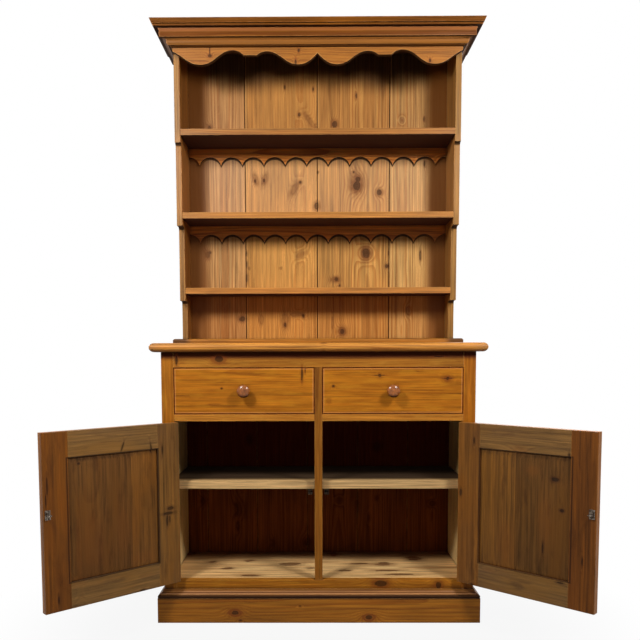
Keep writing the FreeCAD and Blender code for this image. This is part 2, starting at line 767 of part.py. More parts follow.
middle_ledge = "(half_muntin + runner_ledge)"
middle_runner = prism("runner_middle", "XZ", ("frame_back", "back_plane"), [
    ("-" + middle_ledge, runner_low), (middle_ledge, runner_low), (middle_ledge, runner_top),
    ("half_muntin", runner_top), ("half_muntin", guide_top), ("-(half_muntin)", guide_top),
    ("-(half_muntin)", runner_top), ("-" + middle_ledge, runner_top)])
drawer_runners = group("drawer_runners", [side_runner("runner_left", -1), middle_runner,
                                          side_runner("runner_right", 1)])

# Turned knob: a foot ring, a hollow neck and a domed cap with a shallow button.
# Points are shares of its projection from the face and of its radius, then the bow.
knob_shares = (
    (0.0, 0.5), (-0.08, 0.5), (-0.16, 0.36, 0.08), (-0.46, 0.62, -0.05), (-0.62, 0.94, -0.05),
    (-0.8, 0.96, -0.09), (-0.97, 0.42), (-0.965, 0.36), (-0.99, 0.26), (-1.0, 0.12), (-1.0, 0.0),
)


def knob(name, across, up, depth="face"):
    """A knob whose spigot runs back into the wood."""
    points = [("knob_spigot_length", "0"), ("knob_spigot_length", "knob_spigot_radius"),
              ("0", "knob_spigot_radius")]
    for share in knob_shares:
        spot = ("%s*knob_projection" % share[0], "%s*knob_radius" % share[1])
        if len(share) == 3:
            spot += ("%s*knob_projection" % share[2],)
        points.append(spot)
    body = turning(name, points)
    for axis, place in zip("xyz", (across, depth, up)):
        body.setExpression("Placement.Base." + axis, bind(place))
    return body


def knob_hole(name, across, up):
    """The hole that takes a knob's spigot."""
    return rod(name, (across, "face - overrun", up), "knob_spigot_radius + spigot_clearance",
               "knob_spigot_length + spigot_clearance + overrun", Vector(0, 1, 0))


# Drawers: fronts dovetailed to thin sides, a low back and a bottom in grooves
dovetails = 3


def tails(name, across):
    """The dovetails at the front end of a drawer side, flaring into the drawer front."""
    root = "face + drawer_front_thick"
    tip = root + " - dovetail_length"
    pitch = "(drawer_side_top - drawer_seat)/%d" % dovetails
    made = []
    for index in range(dovetails):
        low = "drawer_seat + %s*%d + dovetail_pin_width/2" % (pitch, index)
        high = "drawer_seat + %s*%d - dovetail_pin_width/2" % (pitch, index + 1)
        made.append(prism(name, "YZ", across, [
            (tip, low), (root, low + " + dovetail_flare"), (root, high + " - dovetail_flare"),
            (tip, high)]))
    return made


def drawer(word, side):
    """The pieces of one drawer."""
    middle = "%d*(half_muntin + opening_width/2)" % side
    low, high = middle + " - drawer_half", middle + " + drawer_half"
    inner_low, inner_high = low + " + drawer_side_thick", high + " - drawer_side_thick"
    front_up = ("drawer_floor + drawer_gap", "drawer_top - drawer_gap")
    knob_up = "drawer_floor + drawer_opening_height/2"
    side_along = ("face + drawer_front_thick", "drawer_back")
    side_up = ("drawer_seat", "drawer_side_top")
    side_across = ((low, inner_low), (inner_high, high))
    bottom_across = (inner_low + " - groove_depth", inner_high + " + groove_depth")
    bottom_along = ("face + drawer_front_thick - groove_depth", "drawer_back")
    name = word + "_drawer"

    front = slab(name + "_front_board", (low, high), ("face", "face + drawer_front_thick"), front_up)
    side_tails = [tails(name + "_tail", across) for across in side_across]
    groove = slab(name + "_front_groove", (inner_low, inner_high),
                  ("face + drawer_front_thick - groove_depth", "face + drawer_front_thick + overrun"),
                  ("bottom_under", "bottom_over"))
    hole = knob_hole(name + "_knob_hole", middle, knob_up)
    pieces = [cut(name + "_front", front, side_tails[0] + side_tails[1] + [groove, hole])]

    sides = []
    for index, across in enumerate(side_across):
        plain = slab("%s_side_plain_%d" % (name, index), across, side_along, side_up)
        board = join("%s_side_board_%d" % (name, index), [plain] + side_tails[index])
        slot = slab(name + "_side_groove", bottom_across, bottom_along,
                    ("bottom_under", "bottom_over"))
        sides.append(cut("%s_side_%d" % (name, index), board, [slot]))
    pieces.append(group(name + "_sides", sides))
    pieces.append(slab(name + "_back", (inner_low, inner_high),
                       ("drawer_back - drawer_side_thick", "drawer_back"),
                       ("bottom_over", "drawer_side_top - groove_depth")))
    pieces.append(slab(name + "_bottom", bottom_across, bottom_along,
                       ("bottom_under", "bottom_over")))
    pieces.append(knob(name + "_knob", middle, knob_up))
    return pieces


drawers = {word: drawer(word, side) for word, side in (("left", -1), ("right", 1))}


# Doors: framed panels, modelled shut and then swung open about their hinge pins

def swing(piece, side, across="0", along="0"):
    """Swing a piece that was modelled shut to the open pose."""
    piece.Placement = Placement(Vector(), Rotation(Vector(0, 0, side), 1))
    turn = "door_open_angle"
    pin = "%d*(hinge_across)" % side
    offset_x = "((%s) - (%s))" % (across, pin)
    offset_y = "((%s) - (hinge_out))" % along
    piece.setExpression("Placement.Rotation.Angle", bind(turn))
    piece.setExpression("Placement.Base.x", bind(
        "%s + cos(%s)*%s - (%d)*sin(%s)*%s" % (pin, turn, offset_x, side, turn, offset_y)))
    piece.setExpression("Placement.Base.y", bind(
        "hinge_out + (%d)*sin(%s)*%s + cos(%s)*%s" % (side, turn, offset_x, turn, offset_y)))
    return piece


def door(word, side):
    """The pieces of one door."""
    name = word + "_door"
    depth = ("face", "door_back")
    up = ("door_low", "door_high")
    door_free = "opening_width - door_gap"
    stiles = {"hinge": ("door_gap", "door_gap + door_stile_width"),
              "lock": (door_free + " - door_stile_width", door_free)}
    sight = (stiles["hinge"][1], stiles["lock"][0])
    sight_up = ("door_low + door_rail_width", "door_high - door_rail_width")
    rails = {"top": (sight_up[1], "door_high"), "bottom": ("door_low", sight_up[0])}
    tenon_along = ("rail_tenon_front", "rail_tenon_front + door_tenon_thick")
    tenon_up = {"top": (sight_up[1] + " + panel_groove", "door_high - door_rail_width/8"),
                "bottom": ("door_low + door_rail_width/8", sight_up[0] + " - panel_groove")}
    groove_along = ("panel_front", "panel_back")
    groove_up = (sight_up[0] + " - panel_groove", sight_up[1] + " + panel_groove")

    def tenons_of(rail):
        return [slab("%s_%s_tenon" % (name, rail), from_stile(side, near, far), tenon_along,
                     tenon_up[rail])
                for near, far in ((sight[0] + " - door_tenon_length", sight[0]),
                                  (sight[1], sight[1] + " + door_tenon_length"))]

    tenons = {rail: tenons_of(rail) for rail in rails}
    knob_across = "%d*(opening_outer - (%s) + door_stile_width/2)" % (side, door_free)
    pieces = []
    for index, stile in enumerate(("hinge", "lock")):
        board = slab("%s_%s_board" % (name, stile), from_stile(side, *stiles[stile]), depth, up)
        tools = [tenons["top"][index], tenons["bottom"][index]]
        edge = sight[index]
        reach = ((edge + " - panel_groove", edge + " + overrun"),
                 (edge + " - overrun", edge + " + panel_groove"))[index]
        tools.append(slab("%s_%s_groove" % (name, stile), from_stile(side, *reach), groove_along,
                          groove_up))
        if stile == "hinge":
            tools += leaf_beds(name + "_leaf_bed", side, "door_gap - overrun",
                               "door_gap + leaf_recess")
        else:
            tools.append(knob_hole(name + "_knob_hole", knob_across, "door_knob_height"))
        pieces.append(swing(cut("%s_%s_stile" % (name, stile), board, tools), side))

    rail_grooves = {"top": (sight_up[1] + " - overrun", groove_up[1]),
                    "bottom": (groove_up[0], sight_up[0] + " + overrun")}
    rail_pieces = []
    for rail in ("top", "bottom"):
        board = slab("%s_%s_rail_board" % (name, rail), from_stile(side, *sight), depth, rails[rail])
        blank = join("%s_%s_rail_blank" % (name, rail), [board] + tenons[rail])
        groove = slab("%s_%s_rail_groove" % (name, rail), from_stile(side, *sight), groove_along,
                      rail_grooves[rail])
        rail_pieces.append(cut("%s_%s_rail" % (name, rail), blank, [groove]))
    pieces.append(swing(group(name + "_rails", rail_pieces), side))

    edge_reach = "panel_groove - panel_play"
    panel_edge = slab(name + "_panel_edge",
                      from_stile(side, "%s - (%s)" % (sight[0], edge_reach),
                                 "%s + %s" % (sight[1], edge_reach)), groove_along,
                      ("%s - (%s)" % (sight_up[0], edge_reach), "%s + %s" % (sight_up[1], edge_reach)))
    field = doc.addObject("Part::Wedge", name + "_panel_field")
    low, high = from_stile(side, *sight)
    for prop, text in (("Xmin", low), ("Xmax", high), ("X2min", "%s + panel_bevel" % low),
                       ("X2max", "%s - panel_bevel" % high), ("Ymin", "panel_back"),
                       ("Ymax", "panel_field"), ("Zmin", sight_up[0]),
                       ("Zmax", sight_up[1]), ("Z2min", sight_up[0] + " + panel_bevel"),
                       ("Z2max", sight_up[1] + " - panel_bevel")):
        field.setExpression(prop, bind(text))
    pieces.append(swing(join(name + "_panel", [panel_edge, field]), side))
    pieces.append(swing(knob(name + "_knob", "0", "0", "0"), side, knob_across, "face"))
    pieces[-1].setExpression("Placement.Base.z", bind("door_knob_height"))

    # Strike plate on the inner face with the tongue that the catch grips
    tongue_place = "%d*(half_muntin + catch_offset)" % side
    plate = slab(name + "_strike_plate",
                 (tongue_place + " - strike_plate_width/2", tongue_place + " + strike_plate_width/2"),
                 ("door_back", "door_back + strike_plate_thick"),
                 ("catch_middle - strike_plate_height/2", "catch_middle + strike_plate_height/2"))
    thin, tip = "tongue_thick/2", "door_back + tongue_reach"
    tongue = prism(name + "_tongue", "YZ",
                   (tongue_place + " - tongue_width/2", tongue_place + " + tongue_width/2"),
                   [("door_back", "catch_middle + %s/2" % thin),
                    ("door_back", "catch_middle - %s/2" % thin),
                    (tip + " - 2*tongue_thick", "catch_middle - %s/2" % thin, "-tongue_thick/10"),
                    (tip + " - tongue_thick/2", "catch_middle - %s" % thin, "-tongue_thick/4"),
                    (tip + " - tongue_thick/2", "catch_middle + %s" % thin, "-tongue_thick/10"),
                    (tip + " - 2*tongue_thick", "catch_middle + %s/2" % thin)])
    pieces.append(swing(join(name + "_strike", [plate, tongue]), side))
    return pieces


doors = {word: door(word, side) for word, side in (("left", -1), ("right", 1))}

# Butt hinges: five knuckles on a pin, three on the frame's leaf and two on the door's
knuckles = 5
knuckle_pitch = "hinge_length/%d" % knuckles


def hinge_leaf(name, side, level, own, near, far):
    """One leaf with its knuckles, bored for the pin."""
    pin = ("%d*(hinge_across)" % side, "hinge_out")
    plate = slab(name + "_plate", from_stile(side, near, far),
                 ("face + leaf_clearance", "face + leaf_width"), level)
    parts = [plate]
    for index in own:
        low = "%s + %s*%d + knuckle_end_gap/2" % (level[0], knuckle_pitch, index)
        tall = knuckle_pitch + " - knuckle_end_gap"
        parts.append(rod(name + "_knuckle", pin + (low,), "knuckle_radius", tall, Vector(0, 0, 1)))
        parts.append(slab(name + "_tab", from_stile(side, near, far),
                          ("hinge_out", "face + leaf_clearance + leaf_thick"),
                          (low, low + " + " + tall)))
    bore = rod(name + "_bore", pin + ("(%s) - overrun" % level[0],),
               "hinge_pin_radius + hinge_pin_clearance", "hinge_length + 2*overrun", Vector(0, 0, 1))
    return cut(name, join(name + "_blank", parts), [bore])


def hinges(word, side):
    """Leaves and pins of one door's two hinges."""
    frame_leaves, door_leaves, pins = [], [], []
    for index, level in enumerate(hinge_levels()):
        name = "%s_hinge_%d" % (word, index)
        frame_leaves.append(hinge_leaf(name + "_frame", side, level, (0, 2, 4), "-(leaf_recess)",
                                       "leaf_thick - leaf_recess"))
        door_leaves.append(hinge_leaf(name + "_door", side, level, (1, 3),
                                      "door_gap + leaf_recess - leaf_thick",
                                      "door_gap + leaf_recess"))
        pins.append(rod(name + "_pin", ("%d*(hinge_across)" % side, "hinge_out",
                                        level[0] + " - hinge_pin_tip"),
                        "hinge_pin_radius", "hinge_length + 2*hinge_pin_tip", Vector(0, 0, 1)))
    return frame_leaves, swing(group(word + "_hinge_door_leaves", door_leaves), side), pins


hinge_sets = {word: hinges(word, side) for word, side in (("left", -1), ("right", 1))}
hinge_frame_leaves = group("hinge_frame_leaves", hinge_sets["left"][0] + hinge_sets["right"][0])
hinge_pins = group("hinge_pins", hinge_sets["left"][2] + hinge_sets["right"][2])


# Spring catches: a bent channel under the shelf with two rollers that grip the tongue

def catch(name, side):
    """One catch, its mouth facing the door."""
    middle = "%d*(half_muntin + catch_offset)" % side
    across = (middle + " - catch_width/2", middle + " + catch_width/2")
    top, low = "cupboard_shelf_under", "cupboard_shelf_under - catch_height"
    back = "catch_front + catch_length"
    channel = prism(name + "_channel", "YZ", across, [
        ("catch_front", top), (back, top), (back, low), ("catch_front", low),
        ("catch_front", low + " + catch_sheet"), (back + " - catch_sheet", low + " + catch_sheet"),
        (back + " - catch_sheet", top + " - catch_sheet"), ("catch_front", top + " - catch_sheet")])
    rise = "tongue_thick/2 + tongue_clearance + roller_radius"
    parts = [channel]
    for way in (-1, 1):
        start = (across[0], "catch_front + roller_radius", "catch_middle + %d*(%s)" % (way, rise))
        parts.append(rod(name + "_roller", start, "roller_radius", "catch_width", Vector(1, 0, 0)))
        spring = (("catch_middle + %s" % rise, top) if way > 0 else
                  (low, "catch_middle - (%s)" % rise))
        parts.append(slab(name + "_spring", across,
                          ("catch_front + roller_radius - catch_sheet/2",
                           "catch_front + roller_radius + catch_sheet/2"), spring))
    return join(name, parts)


catches = group("catches", [catch("catch_left", -1), catch("catch_right", 1)])

# The finished sub-parts, each with its own label
finished = [rack_side_left, rack_side_right, shelf_upper, shelf_middle, shelf_lower, rack_top_board,
            rack_riser, rack_back, scallop_upper, scallop_middle, frieze]
finished += cornice
finished += [worktop, base_side_left, base_side_right, base_back, cupboard_floor, cupboard_shelf,
             shelf_battens, stile_left, stile_right, top_rail, bottom_rail, muntin]
finished += [drawer_rail_pair] + plinth + [plinth_mould, drawer_runners]
finished += drawers["left"] + drawers["right"] + doors["left"] + doors["right"]
finished += [hinge_frame_leaves, hinge_sets["left"][1], hinge_sets["right"][1], hinge_pins, catches]

doc.recompute()
broken = [item.Name for item in doc.Objects if "Invalid" in item.State or "Error" in item.State]
if broken:
    raise RuntimeError("not built: " + ", ".join(broken))
for item in finished:
    if item.Shape.isNull() or not item.Shape.isValid() or not item.Shape.Solids:
        raise RuntimeError("bad shape: " + item.Label)

os.makedirs("parts", exist_ok=True)
for item in finished:
    item.Shape.exportStep("parts/%s.step" % item.Label)
    print("%-28s solids %d volume %.0f" % (item.Label, len(item.Shape.Solids), item.Shape.Volume))
print("%d sub-parts" % len(finished))
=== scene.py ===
import json
import math

import bmesh
import bpy
import numpy as np
from mathutils import Matrix, Vector, noise

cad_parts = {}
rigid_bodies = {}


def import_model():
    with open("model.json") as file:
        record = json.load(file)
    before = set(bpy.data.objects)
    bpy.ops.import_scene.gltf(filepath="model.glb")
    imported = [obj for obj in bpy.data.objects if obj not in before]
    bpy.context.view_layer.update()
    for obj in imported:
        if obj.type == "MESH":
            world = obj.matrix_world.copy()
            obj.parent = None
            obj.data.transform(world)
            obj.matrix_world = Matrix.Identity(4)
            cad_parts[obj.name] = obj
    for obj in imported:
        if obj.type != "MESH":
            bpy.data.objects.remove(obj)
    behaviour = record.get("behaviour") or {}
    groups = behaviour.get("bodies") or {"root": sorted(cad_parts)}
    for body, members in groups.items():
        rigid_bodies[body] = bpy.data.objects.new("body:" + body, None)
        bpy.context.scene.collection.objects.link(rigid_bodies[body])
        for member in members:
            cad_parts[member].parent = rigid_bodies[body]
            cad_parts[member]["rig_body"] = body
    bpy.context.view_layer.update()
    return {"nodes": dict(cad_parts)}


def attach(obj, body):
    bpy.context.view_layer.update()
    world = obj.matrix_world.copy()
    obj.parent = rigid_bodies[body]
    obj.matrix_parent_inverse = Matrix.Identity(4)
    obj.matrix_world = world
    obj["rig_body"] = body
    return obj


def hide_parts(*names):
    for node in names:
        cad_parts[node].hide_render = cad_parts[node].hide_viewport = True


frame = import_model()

print("dresser: frame loaded,", len(frame["nodes"]), "nodes")


def paint(red, green, blue):  # a screen colour, 0-255, made linear for the shaders
    screen = np.array([red, green, blue]) / 255
    linear = np.where(screen <= 0.04045, screen / 12.92, ((screen + 0.055) / 1.055) ** 2.4)
    return (*linear.tolist(), 1.0)


def put(tree, kind, feeds=None, out=0, **settings):  # one node; a feed is a socket or a value
    node = tree.nodes.new("ShaderNode" + kind)
    for name, value in settings.items():
        setattr(node, name, value)
    for place, feed in (feeds or {}).items():
        if isinstance(feed, bpy.types.NodeSocket):
            tree.links.new(feed, node.inputs[place])
        else:
            node.inputs[place].default_value = feed
    return node.outputs[out] if node.outputs else None


def sums(tree, operation, *feeds):
    return put(tree, "Math", dict(enumerate(feeds)), operation=operation)


def times(tree, first, second):
    return sums(tree, "MULTIPLY", first, second)


def arrow(tree, operation, *feeds):
    out = 1 if operation in ("LENGTH", "DOT_PRODUCT") else 0
    return put(tree, "VectorMath", dict(enumerate(feeds)), out, operation=operation)


def stretch(tree, vector, share):
    return put(tree, "VectorMath", {0: vector, "Scale": share}, operation="SCALE")


def partsOf(tree, vector):  # its x, y and z
    node = tree.nodes.new("ShaderNodeSeparateXYZ")
    tree.links.new(vector, node.inputs[0])
    return tuple(node.outputs)


def ease(tree, value, low, high, start=0.0, end=1.0):  # smooth step from low to high
    return put(tree, "MapRange", {0: value, 1: low, 2: high, 3: start, 4: end},
               interpolation_type="SMOOTHSTEP")


def tone(tree, share, first, second, how="MIX"):  # share of the second colour over the first
    return put(tree, "Mix", {0: share, 6: first, 7: second}, 2, data_type="RGBA", blend_type=how)


def laid(tree, mask, share, wood, colour):  # a colour laid over the wood by a share of a mask
    return tone(tree, times(tree, mask, share), wood, colour)


def chanceOf(tree, number, out="Color"):  # the same chance each time for the same number
    return put(tree, "TexWhiteNoise", {"W": number}, out, noise_dimensions="1D")


def cloudy(tree, vector, detail=2.0, out=0):
    return put(tree, "TexNoise", {"Vector": vector, "Scale": 1.0, "Detail": detail,
                                  "Roughness": 0.55}, out)


def startGroup(name, takes, gives):
    tree = bpy.data.node_groups.new(name, "ShaderNodeTree")
    for label, kind, value in takes:
        socket = tree.interface.new_socket(label, in_out="INPUT", socket_type="NodeSocket" + kind)
        socket.default_value = value
    for label in gives:
        tree.interface.new_socket(label, in_out="OUTPUT", socket_type="NodeSocketFloat")
    came, went = tree.nodes.new("NodeGroupInput"), tree.nodes.new("NodeGroupOutput")
    return tree, came.outputs, lambda label, feed: tree.links.new(feed, went.inputs[label])


def useGroup(tree, name, **feeds):
    node = tree.nodes.new("ShaderNodeGroup")
    node.node_tree = bpy.data.node_groups[name]
    for label, feed in feeds.items():
        if isinstance(feed, bpy.types.NodeSocket):
            tree.links.new(feed, node.inputs[label])
        else:
            node.inputs[label].default_value = feed
    return node.outputs


def startMaterial(name):
    material = bpy.data.materials.new(name)
    material.use_nodes = True
    material.node_tree.nodes.clear()
    return material, material.node_tree


# In the groups, Place is (across, depth, along) the board in metres and Board is a number that
# each board has for itself.

figureCells = {  # noise cells per metre across, through and along the board
    "drift": (2.6, 2.6, 0.8), "waver": (30, 30, 3.5), "fibre": (190, 190, 8),
    "streak": (110, 110, 2.6), "cloud": (9, 9, 2.6)}


def makePineFigure():
    # growth rings: distance to a heart line off the board, wavering along it, over the ring width;
    # each ring darkens slowly and ends sharply
    tree, takes, give = startGroup("pineFigure", [
        ("Place", "Vector", (0, 0, 0)), ("Board", "Float", 0), ("Ring", "Float", 0.004),
        ("Wander", "Float", 0.03), ("Lift", "Float", 0)], ["Late", "Fibre", "Streak", "Cloud"])
    place, board = takes["Place"], takes["Board"]
    chance = chanceOf(tree, board)
    start = arrow(tree, "MULTIPLY", chance, (40, 40, 40))

    def cells(name, detail, out=0):
        spot = arrow(tree, "MULTIPLY_ADD", place, figureCells[name], start)
        return cloudy(tree, spot, detail, out)

    drift = arrow(tree, "SUBTRACT", cells("drift", 2.0, 1), (0.5, 0.5, 0.5))
    heart = arrow(tree, "MULTIPLY_ADD", chance, (0.16, 0.10, 0), (-0.08, 0.05, 0))
    drifted = arrow(tree, "ADD", place, stretch(tree, drift, takes["Wander"]))
    spot = arrow(tree, "SUBTRACT", drifted, heart)
    reach = arrow(tree, "LENGTH", arrow(tree, "MULTIPLY", spot, (1, 1, 0)))
    rings = sums(tree, "ADD", sums(tree, "DIVIDE", reach, takes["Ring"]), takes["Lift"])
    rings = sums(tree, "MULTIPLY_ADD", cells("waver", 3.0), 1.1, rings)
    phase = sums(tree, "FRACT", rings)
    season = chanceOf(tree, sums(tree, "ADD", sums(tree, "FLOOR", rings), board), "Value")
    late = times(tree, ease(tree, phase, 0.25, 0.85), ease(tree, phase, 1.0, 0.93))
    give("Late", times(tree, late, sums(tree, "MULTIPLY_ADD", season, 0.6, 0.4)))
    give("Fibre", cells("fibre", 3.0))
    give("Streak", cells("streak", 4.0))
    give("Cloud", cells("cloud", 3.0))


def makeKnotPlace():
    # distance to one knot in its own radii, kept where it is the nearest yet
    tree, takes, give = startGroup("knotPlace", [
        ("Place", "Vector", (0, 0, 0)), ("Centre", "Vector", (0, 0, 0)),
        ("Size", "Vector", (1, 1, 1)), ("Tilt", "Float", 0), ("Near", "Float", 9)], ["Near"])
    apart = arrow(tree, "SUBTRACT", takes["Place"], takes["Centre"])
    apart = put(tree, "VectorRotate", {"Vector": apart, "Angle": takes["Tilt"]},
                rotation_type="Y_AXIS")
    apart = arrow(tree, "DIVIDE", apart, takes["Size"])
    give("Near", sums(tree, "MINIMUM", arrow(tree, "LENGTH", apart), takes["Near"]))


def makeStrayKnots():
    # one chance of a knot in each cell of a long grid, longer along the grain than across
    tree, takes, give = startGroup("strayKnots", [
        ("Place", "Vector", (0, 0, 0)), ("Board", "Float", 0), ("Amount", "Float", 0.3)], ["Near"])
    moved = arrow(tree, "ADD", arrow(tree, "MULTIPLY", takes["Place"], (9, 0.6, 4.2)),
                  arrow(tree, "MULTIPLY", chanceOf(tree, takes["Board"]), (50, 50, 50)))
    cell = tree.nodes.new("ShaderNodeTexVoronoi")
    cell.inputs["Scale"].default_value = 1
    tree.links.new(moved, cell.inputs["Vector"])
    chance = tree.nodes.new("ShaderNodeSeparateColor")
    tree.links.new(cell.outputs["Color"], chance.inputs[0])
    size = sums(tree, "MULTIPLY_ADD", chance.outputs[1], 0.06, 0.025)
    near = sums(tree, "DIVIDE", cell.outputs["Distance"], size)
    gone = sums(tree, "GREATER_THAN", chance.outputs[0], takes["Amount"])
    give("Near", sums(tree, "MULTIPLY_ADD", gone, 9.0, near))


def makeKnotWood():
    # Heart is the knot itself, Halo the resin round it, Rim the ring between them, Lift the bulge
    # that it gives the growth rings, Turns its own rings
    tree, takes, give = startGroup("knotWood", [
        ("Near", "Float", 9), ("Place", "Vector", (0, 0, 0))],
        ["Heart", "Halo", "Rim", "Lift", "Turns"])
    uneven = cloudy(tree, arrow(tree, "MULTIPLY", takes["Place"], (90, 90, 60)), 3.0)
    ragged = sums(tree, "MULTIPLY_ADD", sums(tree, "SUBTRACT", uneven, 0.5), 0.9, takes["Near"])
    heart = ease(tree, ragged, 1.35, 0.95)
    give("Heart", heart)
    give("Halo", times(tree, ease(tree, ragged, 2.6, 1.1), sums(tree, "SUBTRACT", 1.0, heart)))
    off = sums(tree, "ABSOLUTE", sums(tree, "SUBTRACT", ragged, 1.1))
    give("Rim", ease(tree, off, 0.34, 0.1))
    bulge = times(tree, times(tree, takes["Near"], takes["Near"]), -0.22)
    give("Lift", times(tree, sums(tree, "EXPONENT", bulge), 2.4))
    give("Turns", sums(tree, "FRACT", times(tree, ragged, 3.0)))


def makeWearAndShade():
    # Edge is where a rounded arris turns from the true face; the other output darkens where little
    # light gets in, part dirt and part painted shade
    tree, takes, give = startGroup("wearAndShade", [
        ("Reach", "Float", 0.004), ("Corner", "Float", 0.018), ("Place", "Vector", (0, 0, 0))],
        ["Edge", "DirtAndShade"])
    rounded = put(tree, "Bevel", {"Radius": takes["Reach"]}, samples=4)
    true = put(tree, "NewGeometry", {}, "Normal")
    turn = sums(tree, "SUBTRACT", 1.0, arrow(tree, "DOT_PRODUCT", rounded, true))
    patch = cloudy(tree, arrow(tree, "MULTIPLY", takes["Place"], (38, 38, 22)), 3.0)
    light = put(tree, "AmbientOcclusion", {"Distance": takes["Corner"]}, "AO", samples=4)
    edge = times(tree, ease(tree, turn, 0.015, 0.2), ease(tree, patch, 0.3, 0.6))
    give("Edge", times(tree, edge, ease(tree, light, 0.45, 0.7)))
    give("DirtAndShade", times(tree, ease(tree, light, 0.8, 0.3), ease(tree, patch, 0.1, 0.5)))


scallop = {"pitch": 0.950 / 12, "radius": 0.0415, "sunk": 0.0125, "reach": 0.075,
           "tips": (1.595, 1.314)}  # metres; sunk is how far the arch's middle is under its tips


def makeScallopShade():
    # where the arches of a strip throw their shade: a point whose height plus the drop is still
    # outside the arch, arches standing every pitch, with their middle under the tips
    tree, takes, give = startGroup("scallopShade", [
        ("Place", "Vector", (0, 0, 0)), ("Tip", "Float", 1.595), ("Drop", "Float", 0.0065)],
        ["Shade"])
    across, _, level = partsOf(tree, takes["Place"])
    turn = sums(tree, "FRACT", sums(tree, "MULTIPLY_ADD", across, 1 / scallop["pitch"], 0.5))
    aside = times(tree, sums(tree, "SUBTRACT", turn, 0.5), scallop["pitch"])
    above = sums(tree, "ADD", sums(tree, "SUBTRACT", level, takes["Tip"]), takes["Drop"])
    raised = sums(tree, "ADD", above, scallop["sunk"])
    far = sums(tree, "SQRT", sums(tree, "MULTIPLY_ADD", aside, aside, times(tree, raised, raised)))
    wood = times(tree, ease(tree, far, scallop["radius"] - 0.002, scallop["radius"] + 0.001),
                 ease(tree, above, -0.002, 0.002))
    give("Shade", times(tree, wood, sums(tree, "LESS_THAN", above, scallop["reach"])))


for makeGroup in (makePineFigure, makeKnotPlace, makeStrayKnots, makeKnotWood, makeWearAndShade,
                  makeScallopShade):
    makeGroup()
print("dresser: pine groups made")


honeyPine = {  # the waxed frame; every finish starts from these values and changes some
    "early": paint(190, 117, 30), "late": paint(146, 74, 12), "lateShare": 0.85,  # the rings
    "ring": 0.0042, "wander": 0.035, "cloud": 0.34, "streak": 0.8, "fibre": 0.6,
    "mottle": [], "draw": 0.5,  # patches: colour, share, scale, low, high; draw is their length
    "inner": None, "outerTint": None,  # early and late of the inner face and where it begins
    "seam": None, "seamTone": 0.34, "seamLine": 0.25,  # a glued joint
    "knots": [], "eyes": [], "stains": [], "stray": 0.22,  # stray is the share of chance knots
    "knot": paint(46, 20, 6), "resin": paint(122, 56, 14), "stain": paint(48, 24, 10),
    "eye": paint(122, 56, 14), "eyeRim": 0.6, "eyeHeart": 0.25, "eyeHalo": 0.3,
    "worn": paint(214, 156, 84), "wearReach": 0.0045, "wearShare": 0.5,  # rubbed edges
    "grime": paint(40, 16, 4), "corner": 0.018, "grimeShare": 0.6,  # dirt and painted shade in the corners
    "soffit": paint(26, 9, 3), "under": 0.85, "underAt": (-0.1, -0.5),  # painted shade on faces that look down
    "bands": [],  # between two heights: low, high, fade, colour, share, and a wave if any; many are painted highlights and shade
    "outlines": [],  # lines: frames, width, colour, share; dark joints, and painted shade and highlights at gaps and arrises
    "deep": None, "flanks": None,  # start, full, colour, share, in depth or to both sides; the deep ones and the rack back's flanks are painted shade
    "scallops": 0.0, "frontOnly": False,  # share of the strips' shade; shade on front faces only
    "rough": 0.46, "streakRough": 0.16, "wornRough": 0.15, "darkRough": 0.4,
    "coat": 0.03, "coatRough": 0.3, "shine": 0.2,
    "bump": 0.0005, "lateRise": 0.5, "fibreRise": 0.8, "knotRise": -0.6,
}


def nearest(tree, place, spots):  # distance to the nearest of some marks, in its own radii
    near = 9.0
    for centre, size, tilt in spots:
        near = useGroup(tree, "knotPlace", Place=place, Centre=centre, Size=size, Tilt=tilt,
                        Near=near)["Near"]
    return near


def knotsAndEyes(tree, look, place, grain, board):  # the dark knots, and the softer eyes
    near = nearest(tree, place, look["knots"])
    if look["stray"]:
        stray = useGroup(tree, "strayKnots", Place=grain, Board=board, Amount=look["stray"])["Near"]
        near = sums(tree, "MINIMUM", stray, near)
    return [useGroup(tree, "knotWood", Near=found, Place=place)
            for found in (near, nearest(tree, place, look["eyes"]))]


def bandOf(tree, across, level, low, high, fade, wave):  # between two heights
    if wave:  # its edge rises and falls: rise, pitch, middle of a low place
        rise, pitch, middle = wave
        turn = times(tree, sums(tree, "SUBTRACT", across, middle), 2 * math.pi / pitch)
        level = sums(tree, "MULTIPLY_ADD", sums(tree, "COSINE", turn), rise, level)
    return times(tree, ease(tree, level, low - fade, low), ease(tree, level, high + fade, high))


def outlineOf(tree, across, level, frames, wide):  # round each x, z, half width, half height
    line = 0.0
    for x, z, half, tall in frames:
        aside = sums(tree, "ABSOLUTE", sums(tree, "SUBTRACT", across, x))
        above = sums(tree, "ABSOLUTE", sums(tree, "SUBTRACT", level, z))
        beyond = sums(tree, "MAXIMUM", sums(tree, "SUBTRACT", aside, half),
                      sums(tree, "SUBTRACT", above, tall))
        drawn = ease(tree, sums(tree, "ABSOLUTE", beyond), wide, wide * 0.5)
        line = sums(tree, "MAXIMUM", line, drawn)
    return line


def stainsOf(tree, look, place, streak):  # blots drawn out and broken by the grain
    uneven = cloudy(tree, arrow(tree, "MULTIPLY", place, (22, 130, 22)), 3.0, 1)
    uneven = arrow(tree, "SUBTRACT", uneven, (0.5, 0.5, 0.5))
    drawn = arrow(tree, "MULTIPLY_ADD", uneven, (0.07, 0.012, 0), place)
    blot = useGroup(tree, "knotWood", Near=nearest(tree, drawn, look["stains"]), Place=place)
    spread = sums(tree, "MAXIMUM", blot["Heart"], times(tree, blot["Halo"], 0.4))
    return times(tree, spread, ease(tree, streak, 0.3, 0.62, 0.5, 0.95))


